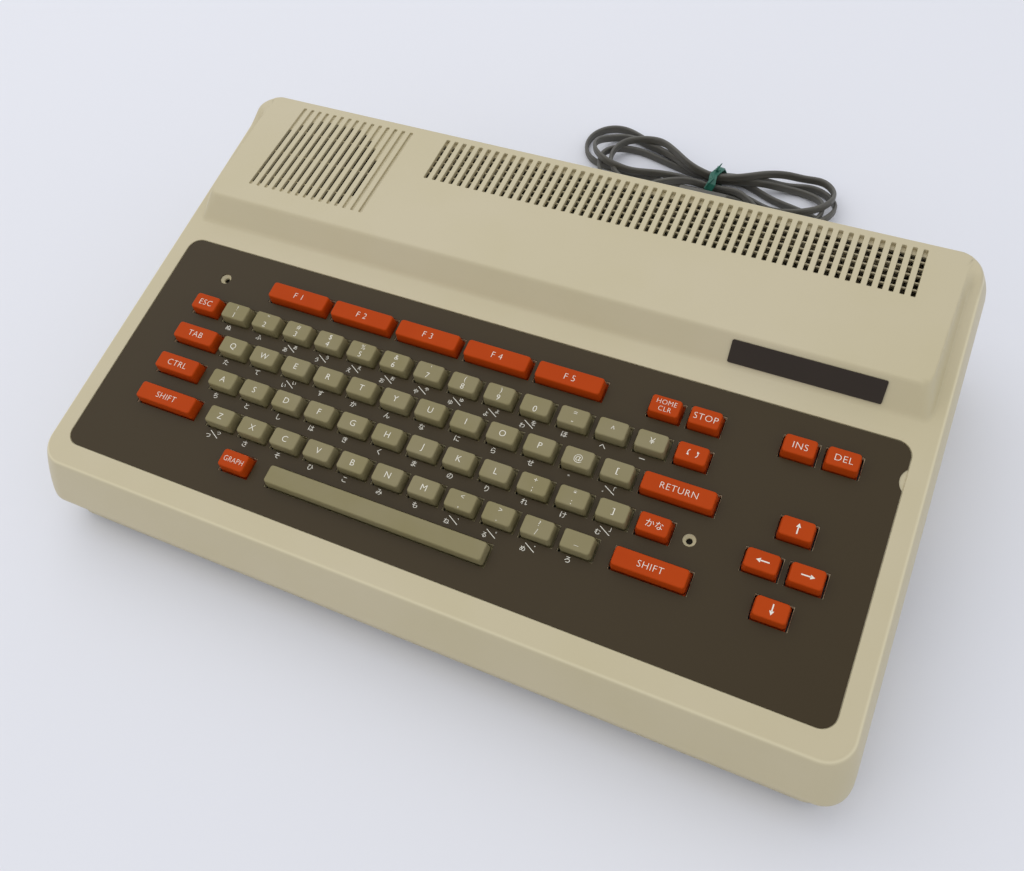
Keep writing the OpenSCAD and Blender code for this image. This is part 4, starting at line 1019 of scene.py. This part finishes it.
# One mark under a key, or two with a slash between them
m = ShellMesh()
z, thin = legend["film"] + legend["lift"], legend["kanaThin"]
for name, keys in rowKeys.items():
    for key, marks in zip(keys, rowMarks[name].split(" ")):
        x, y = keyMiddle(key)
        dx, dy = legend["kanaAt" if len(marks) == 1 else "pairAt"]
        x, y = x + dx, y + dy
        if len(marks) == 1:
            engrave(m, x, y, z, glyphs(marks, legend["kana"], True, thin))
            continue
        sx, sy, width = legend["slash"]
        engrave(m, x, y, z, stroke([(-sx, -sy), (sx, sy)], width))
        for mark, (dx, dy) in zip(marks, legend["pair"]):
            tall = legend["smallKana"] * (legend["dotShare"] if mark in "、。・゜" else 1)
            engrave(m, x + dx, y + dy, z, glyphs(mark, tall, True, thin))
showPiece("panel_marks", m.finished("panel_marks"), finish["legendWhite"])
print("panel marks printed")


# Nameplate: a bare dark film on the slope, its corners slightly rounded
plate = {"x": 140.5, "halfW": 35.35, "halfL": 5.6, "r": 0.9, "thick": 0.8, "drop": 0.4, "sunk": 0.4}
m = ShellMesh()
slope = atan2(case["humpH"], case["humpRun"])
onSlope = onDeck @ Matrix.Translation((0, case["humpFoot"], 0)) @ Matrix.Rotation(slope, 4, "X")
middle = hypot(case["humpH"], case["humpRun"]) / 2 - plate["drop"]
top, low = plate["thick"], -plate["sunk"]
bands = [(0, low, 0, 0), (0, top - 0.15, 0, 0), (0.05, top - 0.05, 45, 0), (0.15, top, 90, 0)]
foot = m.rounded(onSlope, (plate["x"], middle), (plate["halfW"], plate["halfL"]), plate["r"], bands)
m.faces.append(tuple(foot))
platePiece = showPiece("bare_plate", m.finished("bare_plate"), finish["plateFilm"])
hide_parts("nameplate")
print("plate set")


# Floor and light
studio = {
    "reach": 6.0,  # metres
    "paper": ("#e3e4e8", "#e1e2e6"),
    "sky": ("#f6f8ff", 0.84),
    # Place and size in metres, power in watts, colour
    "softBox": ((-0.9, 0.6, 2.1), 2.7, 17, "#ffffff"),
    "frontFill": ((-1.3, -1.4, 1.0), 0.6, 1.6, "#ffeab8"),
    "sideFill": ((2.1, 0.1, 0.7), 1.6, 2.2, "#ffffff"),
}
floor, r = bpy.data.meshes.new("floor"), studio["reach"]
floor.from_pydata([(-r, -r, 0), (r, -r, 0), (r, r, 0), (-r, r, 0)], [], [(0, 1, 2, 3)])
piece = addObject("floor", floor)
# Seamless paper sweep: matt and very slightly cool
material, tree = blankMaterial("paperSweep")
place = addNode(tree, "TexCoord").outputs["Object"]
drift = addNode(tree, "TexNoise", {"Vector": place, "Scale": perMetre(400), "Detail": 1.0}).outputs["Fac"]
tints = {0: drift, 6: linearColour(studio["paper"][0]), 7: linearColour(studio["paper"][1])}
paint = addNode(tree, "Mix", tints, data_type="RGBA").outputs[2]
paper = addNode(tree, "BsdfPrincipled", {"Base Color": paint, "Roughness": 0.9})
addNode(tree, "OutputMaterial", {"Surface": paper.outputs["BSDF"]})
floor.materials.append(material)

world = bpy.data.worlds.new("studio")
bpy.context.scene.world = world
world.use_nodes = True
world.node_tree.nodes.clear()
tint, strength = studio["sky"]
sky = addNode(world.node_tree, "Background", {"Color": linearColour(tint), "Strength": strength})
addNode(world.node_tree, "OutputWorld", {"Surface": sky.outputs["Background"]})

for name in ("softBox", "frontFill", "sideFill"):
    place, span, power, tint = studio[name]
    lamp = bpy.data.lights.new(name, "AREA")
    lamp.size = span
    lamp.energy = power
    lamp.color = linearColour(tint)[:3]
    holder = addObject(name, lamp)
    holder.location = place
    holder.rotation_euler = (-Vector(place)).to_track_quat("-Z", "Y").to_euler()
print("floor and lights set")
bpy.context.scene.view_settings.view_transform = "Standard"
